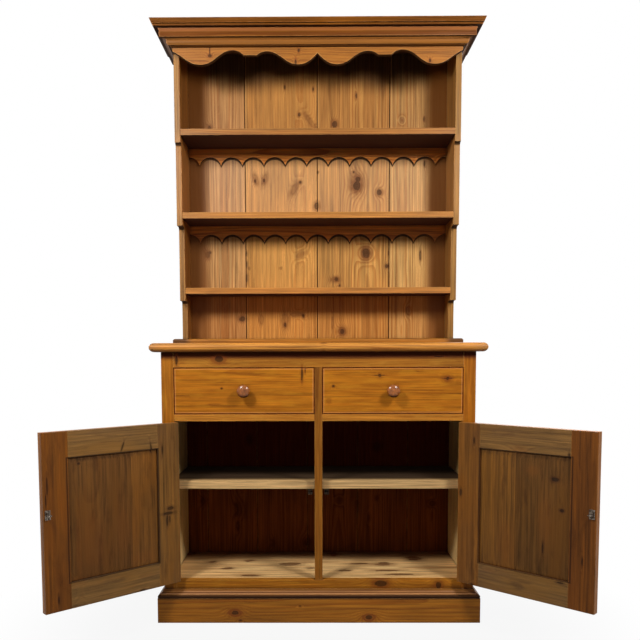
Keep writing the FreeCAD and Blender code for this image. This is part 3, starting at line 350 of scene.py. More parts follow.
def pineFinish(name, **changes):
    look = {**honeyPine, **changes}
    material, tree = startMaterial(name)
    place = put(tree, "Attribute", {}, "Vector", attribute_name="place")
    grain = put(tree, "Attribute", {}, "Vector", attribute_name="grain")
    board = put(tree, "Attribute", {}, "Fac", attribute_name="board")
    tint = put(tree, "Attribute", {}, "Color", attribute_name="tint")
    across, depth, level = partsOf(tree, place)
    facing = partsOf(tree, put(tree, "NewGeometry", {}, "Normal"))
    if look["seam"]:  # two boards glued edge to edge, the second one darker
        gap = sums(tree, "SUBTRACT", across, look["seam"])
        second = sums(tree, "GREATER_THAN", gap, 0.0)
        board = sums(tree, "MULTIPLY_ADD", second, 11.3, board)
        tint = laid(tree, second, look["seamTone"], tint, (0, 0, 0, 1))
    dark, soft = knotsAndEyes(tree, look, place, grain, board)
    figure = useGroup(tree, "pineFigure", Place=grain, Board=board, Ring=look["ring"],
                      Wander=look["wander"], Lift=sums(tree, "ADD", dark["Lift"], soft["Lift"]))
    wear = useGroup(tree, "wearAndShade", Reach=look["wearReach"], Corner=look["corner"], Place=place)

    early, late = look["early"], look["late"]
    if look["inner"]:  # the face away from the wax, on the deep side of the board
        innerEarly, innerLate, begins = look["inner"]
        inner = ease(tree, partsOf(tree, grain)[1], begins - 0.0006, begins + 0.0006)
        early = tone(tree, inner, early, innerEarly)
        late = tone(tree, inner, late, innerLate)
        if look["outerTint"]:
            tint = tone(tree, inner, look["outerTint"], tint)
    wood = laid(tree, figure["Late"], look["lateShare"], early, late)
    light = 1.0
    for part in ("Cloud", "Streak", "Fibre"):
        swing = sums(tree, "SUBTRACT", figure[part], 0.5)
        light = sums(tree, "MULTIPLY_ADD", swing, look[part.lower()] * 2, light)
    wood = stretch(tree, wood, light)
    lot = stretch(tree, chanceOf(tree, board), 30.0)
    for colour, share, scale, low, high in look["mottle"]:  # patches left by old polish and damp
        begin = arrow(tree, "ADD", lot, (low * 40, 3, high * 20))
        spread = arrow(tree, "MULTIPLY_ADD", grain, (scale, scale, scale * look["draw"]), begin)
        wood = laid(tree, ease(tree, cloudy(tree, spread, 4.0), low, high), share, wood, colour)
    wood = tone(tree, 1.0, wood, tint, "MULTIPLY")

    # the room's shade and dirt, which on the back boards and the frame lie on the front face
    seen = ease(tree, facing[1], -0.1, -0.5) if look["frontOnly"] else 1.0
    for low, high, fade, colour, share, *wave in look["bands"]:
        band = times(tree, bandOf(tree, across, level, low, high, fade, wave), seen)
        wood = laid(tree, band, share, wood, colour)
    for part in ("Halo", "Heart", "Rim"):
        wood = laid(tree, soft[part], look["eye" + part], wood, look["eye"])
    wood = laid(tree, dark["Halo"], 0.5, wood, look["resin"])
    turns = sums(tree, "MULTIPLY_ADD", dark["Turns"], 0.25, 0.68)
    wood = laid(tree, dark["Heart"], turns, wood, look["knot"])
    if look["stains"]:
        stains = stainsOf(tree, look, place, figure["Streak"])
        wood = tone(tree, stains, wood, look["stain"])
    if look["seam"]:
        joint = ease(tree, sums(tree, "ABSOLUTE", gap), 0.0022, 0.0004)
        wood = laid(tree, joint, look["seamLine"], wood, look["grime"])
    wood = laid(tree, wear["Edge"], look["wearShare"], wood, look["worn"])
    for frames, wide, colour, share in look["outlines"]:
        line = times(tree, outlineOf(tree, across, level, frames, wide), seen)
        wood = laid(tree, line, share, wood, colour)
    # dirt and painted shade in corners and creases, where little light gets in
    wood = laid(tree, wear["DirtAndShade"], look["grimeShare"], wood, look["grime"])
    # painted shade, darker deeper in
    if look["deep"]:
        start, full, colour, share = look["deep"]
        wood = tone(tree, ease(tree, depth, start, full, 0.0, share), wood, colour)
    for tip in scallop["tips"] if look["scallops"] else ():
        shade = times(tree, useGroup(tree, "scallopShade", Place=place, Tip=tip)["Shade"], seen)
        wood = laid(tree, shade, look["scallops"], wood, look["soffit"])
    # painted shade on faces that look down
    shadeBelow = times(tree, ease(tree, facing[2], *look["underAt"]), look["under"])
    wood = tone(tree, shadeBelow, wood, look["soffit"])
    # towards both sides; on the rack back this is the painted shadow of its side walls
    if look["flanks"]:
        start, full, colour, share = look["flanks"]
        aside = ease(tree, sums(tree, "ABSOLUTE", across), start, full, 0.0, share)
        wood = tone(tree, times(tree, aside, seen), wood, colour)

    paleWood = ease(tree, put(tree, "RGBToBW", {0: wood}), 0.0, 0.1, 0.08, 1.0)  # dark places, dirt and painted shade alike, are matt
    darkWood = sums(tree, "SUBTRACT", 1.0, paleWood)
    coated = times(tree, paleWood, sums(tree, "SUBTRACT", 1.0, shadeBelow))
    rough = look["rough"] - look["streakRough"] / 2
    for mask, share in ((figure["Streak"], look["streakRough"]), (wear["Edge"], look["wornRough"]),
                        (darkWood, look["darkRough"])):
        rough = sums(tree, "MULTIPLY_ADD", mask, share, rough)
    rise = times(tree, figure["Fibre"], look["fibreRise"])
    for mask, share in ((figure["Late"], look["lateRise"]), (dark["Heart"], look["knotRise"])):
        rise = sums(tree, "MULTIPLY_ADD", mask, share, rise)
    bent = put(tree, "Bump", {"Height": rise, "Distance": look["bump"], "Strength": 0.7})
    skin = tree.nodes.new("ShaderNodeBsdfPrincipled")
    skin.inputs["Coat Roughness"].default_value = look["coatRough"]
    skin.inputs["Specular IOR Level"].default_value = look["shine"]
    feeds = {"Base Color": wood, "Roughness": rough, "Normal": bent}
    if look["coat"]:
        feeds["Coat Weight"] = times(tree, coated, look["coat"])
    for socket, feed in feeds.items():
        tree.links.new(feed, skin.inputs[socket])
    put(tree, "OutputMaterial", {"Surface": skin.outputs[0]})
    return material


def marks(rows, flat="y"):
    # rows of x, z (or y on a floor), half width, half height in metres, and a tilt if any
    found = []
    for x, level, width, height, *tilt in rows:
        place = (x, 0, level) if flat == "y" else (x, level, 0)
        size = (width, 9, height) if flat == "y" else (width, height, 9)  # 9 m is right through
        found.append((place, size, tilt[0] if tilt else 0.0))
    return found


doorAngle = math.radians(136.7)  # how far the doors stand open at rest
hingeAxis = {"left": (-0.47765, 0.0067), "right": (0.47765, 0.0067)}  # x and y of the pins


def doorFrame(side):  # origin and the unit arrows along the door, out of its inner face, and up
    sign = -1 if side == "left" else 1
    along = Vector((sign * -math.cos(doorAngle), -math.sin(doorAngle), 0))
    inward = Vector((sign * -math.sin(doorAngle), math.cos(doorAngle), 0))
    return Vector((*hingeAxis[side], 0)), along, inward, Vector((0, 0, 1))


def solidsOf(count, edges):  # one number per vertex for the solid it belongs to
    label = np.arange(count)
    while True:
        low = np.minimum(label[edges[:, 0]], label[edges[:, 1]])
        fresh = label.copy()
        np.minimum.at(fresh, edges[:, 0], low)
        np.minimum.at(fresh, edges[:, 1], low)
        fresh = fresh[fresh]
        if (fresh == label).all():
            return np.unique(label, return_inverse=True)[1]
        label = fresh


def giveAttribute(mesh, name, kind, values):
    field = {"FLOAT": "value", "FLOAT_VECTOR": "vector", "FLOAT_COLOR": "color"}[kind]
    made = mesh.attributes.new(name, kind, "POINT")
    made.data.foreach_set(field, np.asarray(values, np.float32).ravel())


def layGrain(mesh, name, lay, side=None, tints=None, flip=False):
    # place is where a point is on the dresser or on its door; grain the same from the middle of
    # its own board, turned to (across, depth, along)
    points = np.zeros(len(mesh.vertices) * 3)
    mesh.vertices.foreach_get("co", points)
    points = points.reshape(-1, 3)
    edges = np.zeros(len(mesh.edges) * 2, int)
    mesh.edges.foreach_get("vertices", edges)
    label = solidsOf(len(points), edges.reshape(-1, 2))
    if side:
        start, along, out, up = doorFrame(side)
        points = (points - np.array(start)) @ np.array([along, out, up]).T
    middles = np.array([(points[label == i].min(0) + points[label == i].max(0)) / 2
                        for i in range(label.max() + 1)])
    order = np.argsort(np.argsort(middles[:, 0] + 10 * middles[:, 2]))  # left to right in rows
    local = (points - middles[label])[:, ["xyz".index(c) for c in lay]]
    if flip:
        local[:, 1] *= -1
    seed = sum(ord(c) * (i + 3) for i, c in enumerate(name)) % 97
    tints = tints or [(1, 1, 1)]
    shades = np.array([(*tints[order[i] % len(tints)], 1) for i in label])
    giveAttribute(mesh, "place", "FLOAT_VECTOR", points)
    giveAttribute(mesh, "grain", "FLOAT_VECTOR", local)
    giveAttribute(mesh, "board", "FLOAT", seed + order[label] * 3.7)
    giveAttribute(mesh, "tint", "FLOAT_COLOR", shades)


def showPiece(mesh, name, material, body, node):
    piece = bpy.data.objects.new(name, mesh)
    bpy.context.scene.collection.objects.link(piece)
    mesh.materials.clear()
    mesh.materials.append(material)
    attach(piece, body)
    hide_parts(node)


arrisCut = {  # metres; turning and smoothUnder are degrees
    "turning": 38, "shortest": 0.002, "long": 0.05, "length": 0.032, "worn": 0.65, "uneven": 0.35,
    "patches": 14, "segments": 2, "smoothUnder": 30}


def wornPiece(node, material, lay, slot="pine_waxed", arris=0.0012, side=None, tints=None,
              flip=False, ending="Wood"):
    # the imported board, merged, with its long arrises cut in lengths that are worn more or less
    source = frame["nodes"][node]
    work = bmesh.new()
    work.from_mesh(source.data)
    bmesh.ops.remove_doubles(work, verts=work.verts, dist=2e-6)
    bmesh.ops.dissolve_limit(work, angle_limit=math.radians(0.6), verts=work.verts,
                             edges=work.edges)
    turning = math.radians(arrisCut["turning"])

    def sharpEdges(shortest):
        return [edge for edge in work.edges if len(edge.link_faces) == 2
                and edge.calc_face_angle_signed(0) > turning and edge.calc_length() > shortest]

    for edge in sharpEdges(arrisCut["long"]):
        end = edge.verts[0]
        for left in range(max(2, int(edge.calc_length() / arrisCut["length"])), 1, -1):
            end = bmesh.utils.edge_split(edge, end, 1 / left)[1]
    weight = work.edges.layers.float.new("bevel_weight_edge")
    for edge in sharpEdges(arrisCut["shortest"]):
        middle = (edge.verts[0].co + edge.verts[1].co) / 2
        wear = noise.noise(middle * arrisCut["patches"])
        edge[weight] = arrisCut["worn"] + arrisCut["uneven"] * wear
    mesh = bpy.data.meshes.new(node + "Blank")
    work.to_mesh(mesh)
    work.free()
    mesh.shade_smooth()
    mesh.set_sharp_from_angle(angle=math.radians(arrisCut["smoothUnder"]))
    blank = bpy.data.objects.new(node + "Blank", mesh)
    bpy.context.scene.collection.objects.link(blank)
    cut = blank.modifiers.new("arris", "BEVEL")
    cut.limit_method = "WEIGHT"
    cut.width = arris
    cut.segments = arrisCut["segments"]
    cut.use_clamp_overlap = False
    cut.harden_normals = True
    now = bpy.context.evaluated_depsgraph_get()  # cut first, so the grain runs true to the arris
    mesh = bpy.data.meshes.new_from_object(blank.evaluated_get(now), preserve_all_data_layers=True,
                                           depsgraph=now)
    bpy.data.objects.remove(blank)
    mesh.name = node + ending
    layGrain(mesh, node, lay, side, tints, flip)
    showPiece(mesh, node + ending, material, source["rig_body"], node)


rackBackKnots = marks([
    (.0634, 1.7444, .0085, .0110), (-.0667, 1.7790, .0045, .0060), (-.3987, 1.7320, .0060, .0085),
    (-.1197, 1.8772, .0028, .0070), (-.0155, 1.8701, .0028, .0070), (.1428, 1.8459, .0025, .0090),
    (.3923, 1.7611, .0022, .0070), (.1455, 1.5215, .0120, .0150), (.1500, 1.5450, .0080, .0085),
    (.2290, 1.4970, .0085, .0100), (-.0030, 1.4480, .0080, .0120), (.0020, 1.5710, .0030, .0040),
    (.1336, 1.5710, .0030, .0037), (-.0638, 1.5356, .0042, .0050), (-.2313, 1.5400, .0030, .0055),
    (-.1984, 1.5420, .0030, .0055), (.3960, 1.6000, .0029, .0088), (.1803, 1.2746, .0120, .0150),
    (-.4115, 1.2702, .0075, .0110), (-.4020, 1.2790, .0045, .0045), (.3824, 1.2652, .0035, .0180),
    (.0700, 1.1790, .0058, .0062), (.0820, 1.1560, .0030, .0037), (.2590, 1.2270, .0058, .0062),
    (.2650, 1.2740, .0026, .0090), (-.2650, 1.2740, .0030, .0080), (-.2640, 1.2360, .0030, .0110),
    (-.2640, 1.1850, .0034, .0140), (-.2828, 1.0317, .0105, .0085), (-.4434, 1.0544, .0055, .0075),
    (.0924, .9845, .0070, .0085), (-.0539, 1.0433, .0040, .0060), (-.1226, 1.0100, .0035, .0070)])
rackBackEyes = marks([
    (-.0252, 1.7533, .0300, .0065, -.93), (.3119, 1.7578, .0050, .0070),
    (.1471, 1.5320, .0185, .0300), (-.2290, 1.5470, .0075, .0170, .3),
    (-.1964, 1.5450, .0085, .0170, -.3), (-.0849, 1.5117, .0085, .0200, -.5),
    (.1803, 1.2746, .0150, .0190), (-.0633, 1.2710, .0150, .0090, .5),
    (.0640, 1.1776, .0130, .0085), (-.2560, 1.2200, .0037, .0045),
    (-.1367, 1.2205, .0030, .0040), (.0924, .9845, .0125, .0140),
    (-.2124, 1.0299, .0075, .0150), (-.1226, 1.0258, .0110, .0220), (.3374, 1.0609, .0060, .0120),
    (-.0803, 1.0484, .0200, .0060), (.0558, 1.0159, .0028, .0200)])
frontKnots = marks([
    (-.3200, .7870, .0033, .0026), (-.0541, .8330, .0032, .0200), (-.0434, .8460, .0014, .0085),
    (.2024, .8292, .0045, .0045), (.2024, .8292, .0165, .0013), (.0497, .7942, .0036, .0036),
    (.4259, .8186, .0045, .0045), (.4259, .8186, .0140, .0012), (-.3280, .8840, .0125, .0086),
    (-.4680, .8800, .0035, .0140), (.3959, .8908, .0149, .0016), (.2090, .1286, .0180, .0095),
    (.4032, .1228, .0085, .0095)])
frontEyes = marks([
    (-.3446, .7338, .0140, .0026), (.4259, .8186, .0100, .0080), (.2090, .1286, .0230, .0120),
    (.0340, .7455, .0060, .0065), (.4032, .1228, .0150, .0130), (-.3280, .8840, .0190, .0120)])
plinthKnots = marks([
    (-.2805, .0352, .0105, .0065), (-.2625, .0085, .0050, .0028), (.1682, .0189, .0100, .0065),
    (-.0630, .0580, .0034, .0020)])
plinthEyes = marks([(-.2805, .0352, .0180, .0100), (.1682, .0189, .0180, .0100)])
friezeKnots = marks([
    (-.3672, 1.9146, .0055, .0050), (-.3672, 1.9310, .0016, .0120), (-.0749, 1.8883, .0035, .0120),
    (-.0639, 1.9312, .0035, .0060), (.3827, 1.8955, .0034, .0060)])
floorStains = marks([
    (-.1050, .1990, .0330, .0190), (-.3198, .1469, .0160, .0110), (-.4852, .3442, .0150, .0280),
    (-.2365, .0606, .0300, .0100), (-.3897, .2264, .0140, .0120), (-.0311, .1477, .0085, .0110),
    (-.2531, .2393, .0120, .0120), (.2847, .0714, .0480, .0085), (.2404, .1148, .0380, .0070),
    (.2359, .2016, .0250, .0200), (.3534, .2734, .0230, .0280), (.1516, .2040, .0260, .0060),
    (.0569, .3281, .0160, .0260), (.0919, .1204, .0160, .0110)], "z")
baseBackEyes = marks([
    (-.3064, .3076, .0115, .0230), (-.0418, .1798, .0134, .0136), (-.3070, .2431, .0057, .0180),
    (-.4410, .3390, .0076, .0116), (-.1724, .1761, .0057, .0117), (.1502, .3290, .0057, .0300),
    (.0805, .3404, .0076, .0096), (.1936, .2733, .0038, .0097), (.2257, .3496, .0057, .0077),
    (.4364, .3289, .0076, .0077), (-.2610, .5760, .0091, .0129), (.2240, .5480, .0114, .0136)])
doorKnots = {  # distance from the hinge and height
    "left": marks([
        (.1049, .6008, .0024, .0140, -.15), (.0640, .5900, .0020, .0130),
        (.2057, .6150, .0022, .0130, .35), (.0450, .3810, .0176, .0040),
        (.0500, .3580, .0034, .0160), (.0400, .3600, .0020, .0110),
        (.0370, .3970, .0099, .0050), (.1440, .1423, .0090, .0050), (.4490, .5210, .0020, .0220),
        (.4540, .4780, .0016, .0150), (.3490, .5760, .0036, .0026), (.4230, .1780, .0022, .0110)]),
    "right": marks([
        (.3341, .5241, .0100, .0058), (.0116, .4450, .0040, .0100), (.2987, .3101, .0020, .0140),
        (.0592, .6183, .0030, .0090), (.3566, .4335, .0062, .0040), (.3771, .5999, .0028, .0080),
        (.0566, .1420, .0070, .0050), (.4240, .2920, .0020, .0110), (.3582, .2152, .0100, .0024)]),
}
doorEyes = {
    "left": marks([(.3080, .3330, .0296, .0681), (.2060, .3480, .0209, .0574),
                   (.1370, .2540, .0292, .0131), (.3533, .3230, .0079, .0900),
                   (.3589, .2229, .0200, .0120)]),
    "right": marks([(.2610, .5430, .0163, .0124), (.3040, .3930, .0160, .0616),
                    (.1710, .3080, .0208, .0515), (.2200, .6010, .0200, .0094),
                    (.1197, .2054, .0179, .0049)]),
}

# a painted shade line in the gaps round the drawers, and a painted highlight on their arrises just
# inside
drawerGapShade = [(side * 0.24575, 0.779, 0.2318, 0.0759) for side in (-1, 1)]
drawerEdgeHighlights = [(side * 0.24575, 0.779, 0.2276, 0.0717) for side in (-1, 1)]
backSeams = [(x, 1.5, 0.0, 9.0) for x in (-0.2679, -0.001, 0.2659)]
backSeamEdges = [(x + 0.0052, *rest) for x, *rest in backSeams]
barePine = {"early": paint(222, 182, 124), "late": paint(176, 124, 70), "coat": 0.0,
            "rough": 0.62, "shine": 0.15}

waxed = pineFinish("waxedPine")
# the inner faces are darker than the front, the right paler than the left, both paler over the
# second bay, to match how each wall is lit: part finish, part painted light and shade
leftRackSide = pineFinish(
    "leftSidePine", inner=(paint(170, 91, 15), paint(131, 65, 8), 0.0085),
    bands=[(1.40, 1.64, 0.03, paint(216, 146, 84), 0.2)])
rightRackSide = pineFinish(
    "rightSidePine", inner=(paint(192, 115, 31), paint(148, 81, 17), 0.0085),
    bands=[(1.40, 1.64, 0.03, paint(216, 150, 92), 0.14)])
# dark undersides: part bare wood, part painted shade
shelf = pineFinish(
    "shelfPine", inner=(paint(116, 54, 9), paint(88, 35, 5), 0.0095), soffit=paint(44, 17, 5),
    stray=0.12, knots=[((.076, .174, 1.6765), (.018, .005, .0016), 0.0),
                       ((.190, .174, 1.6765), (.010, .005, .0014), 0.0)])
worktopPine = pineFinish("worktopPine", underAt=(-0.75, -0.95), ring=0.003, wander=0.02,
                         flanks=(0.49, 0.56, paint(150, 104, 66), 0.5))
riserPine = pineFinish("riserPine", flanks=(0.452, 0.485, paint(52, 30, 15), 0.75))
# painted highlights on the moulding's rounds, painted shade in its creases and under it
moulding = pineFinish(
    "mouldingPine", grimeShare=0.9, grime=paint(34, 12, 4), corner=0.01,
    bands=[(0.1025, 0.1045, 0.0012, paint(196, 140, 90), 0.35),
           (0.0995, 0.101, 0.001, paint(70, 34, 12), 0.5),
           (0.0965, 0.0985, 0.001, paint(214, 158, 110), 0.5),
           (0.084, 0.0925, 0.004, paint(30, 9, 2), 0.85)])
front = pineFinish(
    "frontPine", knots=frontKnots, eyes=frontEyes, stray=0.0, ring=0.003, lateShare=0.5,
    wearShare=0.6, grimeShare=0.8, corner=0.026, knot=paint(34, 10, 3), eye=paint(112, 50, 12),
    eyeRim=0.2, eyeHeart=0.35, shine=0.13, draw=0.2, frontOnly=True,
    # painted shade in the drawer gaps, painted highlight on the drawer arrises
    outlines=[(drawerGapShade, 0.0024, paint(98, 22, 1), 0.95),
              (drawerEdgeHighlights, 0.0016, paint(226, 158, 100), 0.36)],
    mottle=[(paint(206, 138, 40), 0.45, 60, 0.48, 0.66),
            (paint(142, 72, 8), 0.4, 36, 0.48, 0.7)],
    # painted shadow under the worktop's nose, and painted shade where the bottom rail meets the
    # moulding
    bands=[(0.8945, 1.0, 0.020, paint(62, 13, 1), 0.94),
           (0.0, 0.1165, 0.004, paint(40, 14, 3), 0.25)])
# painted shade along the plinth's top, under the moulding
plinth = pineFinish("plinthPine", knots=plinthKnots, eyes=plinthEyes, stray=0.0,
                    bands=[(0.0815, 0.2, 0.002, paint(30, 8, 2), 0.8)])
# its lower arris is rubbed pale and set strong enough to stand for its highlight too: wear and
# painted highlight
frieze = pineFinish("friezePine", knots=friezeKnots, stray=0.0, wearShare=0.9, wearReach=0.006,
                    grimeShare=0.35)
# painted highlights and shade lines along its members, and paler rubbed arrises that also stand for
# their highlights
cornice = pineFinish(
    "cornicePine", early=paint(119, 68, 9), late=paint(88, 44, 3), stray=0.12, grimeShare=0.5,
    corner=0.012, grime=paint(40, 11, 2), underAt=(-0.7, -0.95), wearShare=0.8,
    worn=paint(190, 130, 80), shine=0.1,
    bands=[(1.946, 1.962, 0.004, paint(196, 134, 70), 0.26),
           (1.980, 1.9885, 0.0016, paint(196, 118, 66), 0.3),
           (1.967, 1.975, 0.0024, paint(92, 34, 10), 0.3),
           (1.9405, 1.9435, 0.002, paint(60, 22, 4), 0.4),
           (1.990, 1.9925, 0.0015, paint(52, 16, 3), 0.25)])
rackBack = pineFinish(
    "rackBackPine", early=paint(188, 138, 74), late=paint(150, 90, 36), knots=rackBackKnots,
    eyes=rackBackEyes, stray=0.0, corner=0.022, grime=paint(40, 14, 4), resin=paint(104, 48, 16),
    streak=0.85, cloud=0.5, grimeShare=0.6, eye=paint(92, 44, 16), eyeRim=0.2, eyeHeart=0.45,
    scallops=0.85, knot=paint(56, 26, 12), shine=0.12, wander=0.016, frontOnly=True,
    # darker over the top bay, paler over the second, more orange over the bottom; the third band is
    # the painted shadow under the frieze, its edge waving as the shadow does
    bands=[(1.68, 2.1, 0.01, paint(116, 56, 14), 0.34),
           (1.40, 1.64, 0.02, paint(220, 176, 150), 0.15),
           (1.9485, 2.1, 0.11, paint(20, 7, 2), 0.82, -0.009, 0.56, -0.012),
           (0.9, 1.116, 0.01, paint(186, 98, 14), 0.28)],
    # painted shadow of the side walls on the back boards
    flanks=(0.385, 0.430, paint(120, 70, 25), 0.9),
    outlines=[(backSeams, 0.0026, paint(58, 24, 8), 0.75),
              (backSeamEdges, 0.002, paint(214, 164, 100), 0.3)])
darkBack = pineFinish(
    "baseBackPine", early=paint(116, 58, 18), late=paint(84, 38, 11), eyes=baseBackEyes,
    eye=paint(50, 16, 5), eyeRim=0.1, eyeHeart=0.5, stray=0.0, coat=0.0, shine=0.05,
    # painted shade over the upper cupboard, under the drawer rail
    frontOnly=True, bands=[(0.45, 0.7, 0.02, paint(84, 6, 3), 0.62)])
bare = pineFinish("barePine", **barePine)
# painted shade over the whole underside of each strip
strip = pineFinish("stripPine", under=1.0, soffit=paint(14, 4, 2), wearShare=0.8)
# painted shade on the floor deeper into the cupboard
bareFloor = pineFinish(
    "floorPine", stains=floorStains, deep=(0.2, 0.34, paint(84, 30, 8), 0.8), draw=0.12,
    stain=paint(84, 42, 14), mottle=[(paint(128, 76, 34), 0.5, 30, 0.46, 0.7),
                                     (paint(250, 216, 150), 0.5, 40, 0.5, 0.68)], **barePine)
# painted shade on the shelf's top towards the back
bareShelf = pineFinish("cupboardShelfPine", deep=(0.04, 0.1, paint(24, 6, 2), 0.95), **barePine)
# inner faces set very pale, painted light for the shaded cupboard walls; darker from 0.33 m up
baseSide = pineFinish("baseSidePine", inner=(paint(252, 222, 156), paint(226, 180, 108), 0.0085),
                      bands=[(0.33, 0.9, 0.12, paint(150, 84, 30), 0.22)])

doorLook = {  # the inner faces, which stand open to the light
    "inner": (paint(124, 82, 32), paint(92, 55, 20)), "outerTint": (0.92, 0.9, 0.85, 1),
    "stray": 0.0, "resin": paint(64, 32, 10), "wander": 0.02, "lateShare": 0.55,
    "mottle": [(paint(136, 84, 22), 0.6, 11, 0.46, 0.66), (paint(84, 58, 36), 0.6, 8, 0.5, 0.7),
               (paint(58, 30, 10), 0.45, 44, 0.54, 0.72)], "draw": 0.22,
    "outlines": [([(0.234, 0.4095, 0.1545, 0.1875)], 0.003, paint(28, 10, 4), 0.75)],
    "knot": paint(22, 8, 3), "eye": paint(150, 80, 22), "eyeRim": 0.0, "eyeHeart": 0.15,
    "eyeHalo": 0.06, "wearShare": 0.35, "fibre": 0.8, "streak": 0.95}
doorPine = {}
for side, seam, waxFrom in (("left", 0.176, 0.001), ("right", 0.206, 0.0104)):
    marked = {**doorLook, "knots": doorKnots[side], "eyes": doorEyes[side]}
    for part, begins, joint in (("Door", waxFrom, None), ("Panel", 0.001, seam)):
        marked["inner"] = (*doorLook["inner"], begins)
        doorPine[side + part] = pineFinish(side + part + "Pine", seam=joint, **marked)


boards = {  # node: finish, which ways run across, through and along it, and what else it needs
    "rack_side_left": (leftRackSide, "yxz", {"tints": [(.63, .88, 3.1)]}),
    "rack_side_right": (rightRackSide, "yxz", {"tints": [(.63, .88, 2.5)], "flip": True}),
    "shelf_upper": (shelf, "yzx", {"tints": [(.7, .83, 2.2)], "flip": True}),
    "shelf_middle": (shelf, "yzx", {"tints": [(.95, 1.15, 3.0)], "flip": True}),
    "shelf_lower": (shelf, "yzx", {"tints": [(.96, 1.15, 3.0)], "flip": True}),
    "rack_top_board": (shelf, "yzx", {"flip": True}),
    "rack_riser": (riserPine, "yzx", {"tints": [(.77, .85, 1.1)]}),
    "rack_back_boards": (rackBack, "xyz", {"slot": "pine_rack_back", "tints": [
        (1, 1.04, 1.3), (1.13, 1.09, .98), (.98, .96, .9), (1.04, 1.16, 1.35)]}),
    "scallop_strip_upper": (strip, "zyx", {"tints": [(1.28, 1.23, 2.2)]}),
    "scallop_strip_middle": (strip, "zyx", {"tints": [(1.28, 1.23, 2.2)]}),
    "frieze": (frieze, "zyx", {"tints": [(.72, .78, 1.5)]}),
    "cornice_front": (cornice, "zyx", {"slot": "pine_cornice"}),
    "cornice_left": (cornice, "zxy", {"slot": "pine_cornice"}),
    "cornice_right": (cornice, "zxy", {"slot": "pine_cornice"}),
    "worktop": (worktopPine, "yzx", {"tints": [(1.25, 1.5, 3.4)]}),
    "base_side_left": (baseSide, "yxz", {}),
    "base_side_right": (baseSide, "yxz", {"flip": True}),
    "base_back_boards": (darkBack, "xyz", {"slot": "pine_base_back"}),
    "cupboard_floor": (bareFloor, "yzx", {"slot": "pine_bare", "tints": [(1.14, 1.1, 1.06)]}),
    "cupboard_shelf": (bareShelf, "yzx", {"slot": "pine_bare", "tints": [(.95, .95, .95)]}),
    "shelf_battens": (bare, "zxy", {"slot": "pine_bare"}),
    "stile_left": (front, "xyz", {"tints": [(.8, .8, .8)]}),
    "stile_right": (front, "xyz", {"tints": [(.8, .74, .64)]}),
    "top_rail": (front, "zyx", {"tints": [(.78, .84, 1.15)]}),
    "bottom_rail": (front, "zyx", {"tints": [(.86, .88, .84)]}),
    "muntin": (front, "xyz", {"tints": [(.61, .62, .84)]}),
    "drawer_rails": (front, "zyx", {"tints": [(1.05, 1.15, 1.8)]}),
    "plinth_front": (plinth, "zyx", {"tints": [(.81, .85, 1.0)]}),
    "plinth_left": (waxed, "zxy", {"tints": [(.81, .85, 1.0)]}),
    "plinth_right": (waxed, "zxy", {"tints": [(.81, .85, 1.0)]}),
    "plinth_mouldings": (moulding, "zyx", {"tints": [(.55, .6, 1.2)]}),
    "drawer_runners": (bare, "xzy", {"slot": "pine_bare"}),
}
doorParts = {"hinge_stile": ("Door", "xyz", {"left": (1.15, 1.2, 1.3), "right": (1.05, .95, .8)}),
             "lock_stile": ("Door", "xyz", {"left": (.98, .72, .24), "right": (.84, .6, .26)}),
             "rails": ("Door", "zyx", {"left": (1.25, 1.5, 2.4), "right": (1.25, 1.5, 2.4)}),
             "panel": ("Panel", "xyz", {"left": (1.06, .98, .8), "right": (1, .96, .8)})}
for side in ("left", "right"):
    boards[side + "_drawer_front"] = (front, "zyx", {"arris": 0.0006, "tints": [(.93, .9, .64)]})
    for part, lay, arris in (("sides", "zxy", 0.0006), ("back", "zyx", 0.0008),
                             ("bottom", "yzx", 0.0006)):
        boards[side + "_drawer_" + part] = (bare, lay, {"slot": "pine_bare", "arris": arris})
    for part, (finish, lay, tint) in doorParts.items():
        boards[side + "_door_" + part] = (doorPine[side + finish], lay, {
            "slot": "pine_door", "side": side, "tints": [tint[side]]})
for node, (finish, lay, extras) in boards.items():
    wornPiece(node, finish, lay, **extras)
print("dresser: boards done")


knobShape = {"reach": 0.038, "radius": 0.022, "spigot": 0.016,  # metres
             "around": 72, "between": 6, "softened": 3}
knobOutline = [  # share of the reach out of the face, share of the radius
    (-0.42, 0.0), (-0.42, 0.36), (0.0, 0.36), (0.0, 0.5), (0.05, 0.5), (0.09, 0.47), (0.13, 0.39),
    (0.18, 0.36), (0.26, 0.40), (0.36, 0.49), (0.46, 0.63), (0.54, 0.80), (0.62, 0.92),
    (0.71, 0.985), (0.80, 0.955), (0.88, 0.80), (0.94, 0.60), (0.97, 0.43), (0.966, 0.36),
    (0.985, 0.27), (1.0, 0.12), (1.0, 0.0)]
# painted shade on the knob's lower rim, dirt and painted shade at its neck
turned = pineFinish("turnedPine", early=paint(158, 86, 8), late=paint(122, 56, 3), coat=1.0,
                    coatRough=0.17, shine=0.03, rough=0.34, ring=0.003, stray=0.0, corner=0.014,
                    grimeShare=0.95, grime=paint(30, 8, 2), under=0.9, underAt=(-0.2, -0.75),
                    wearShare=0.2)


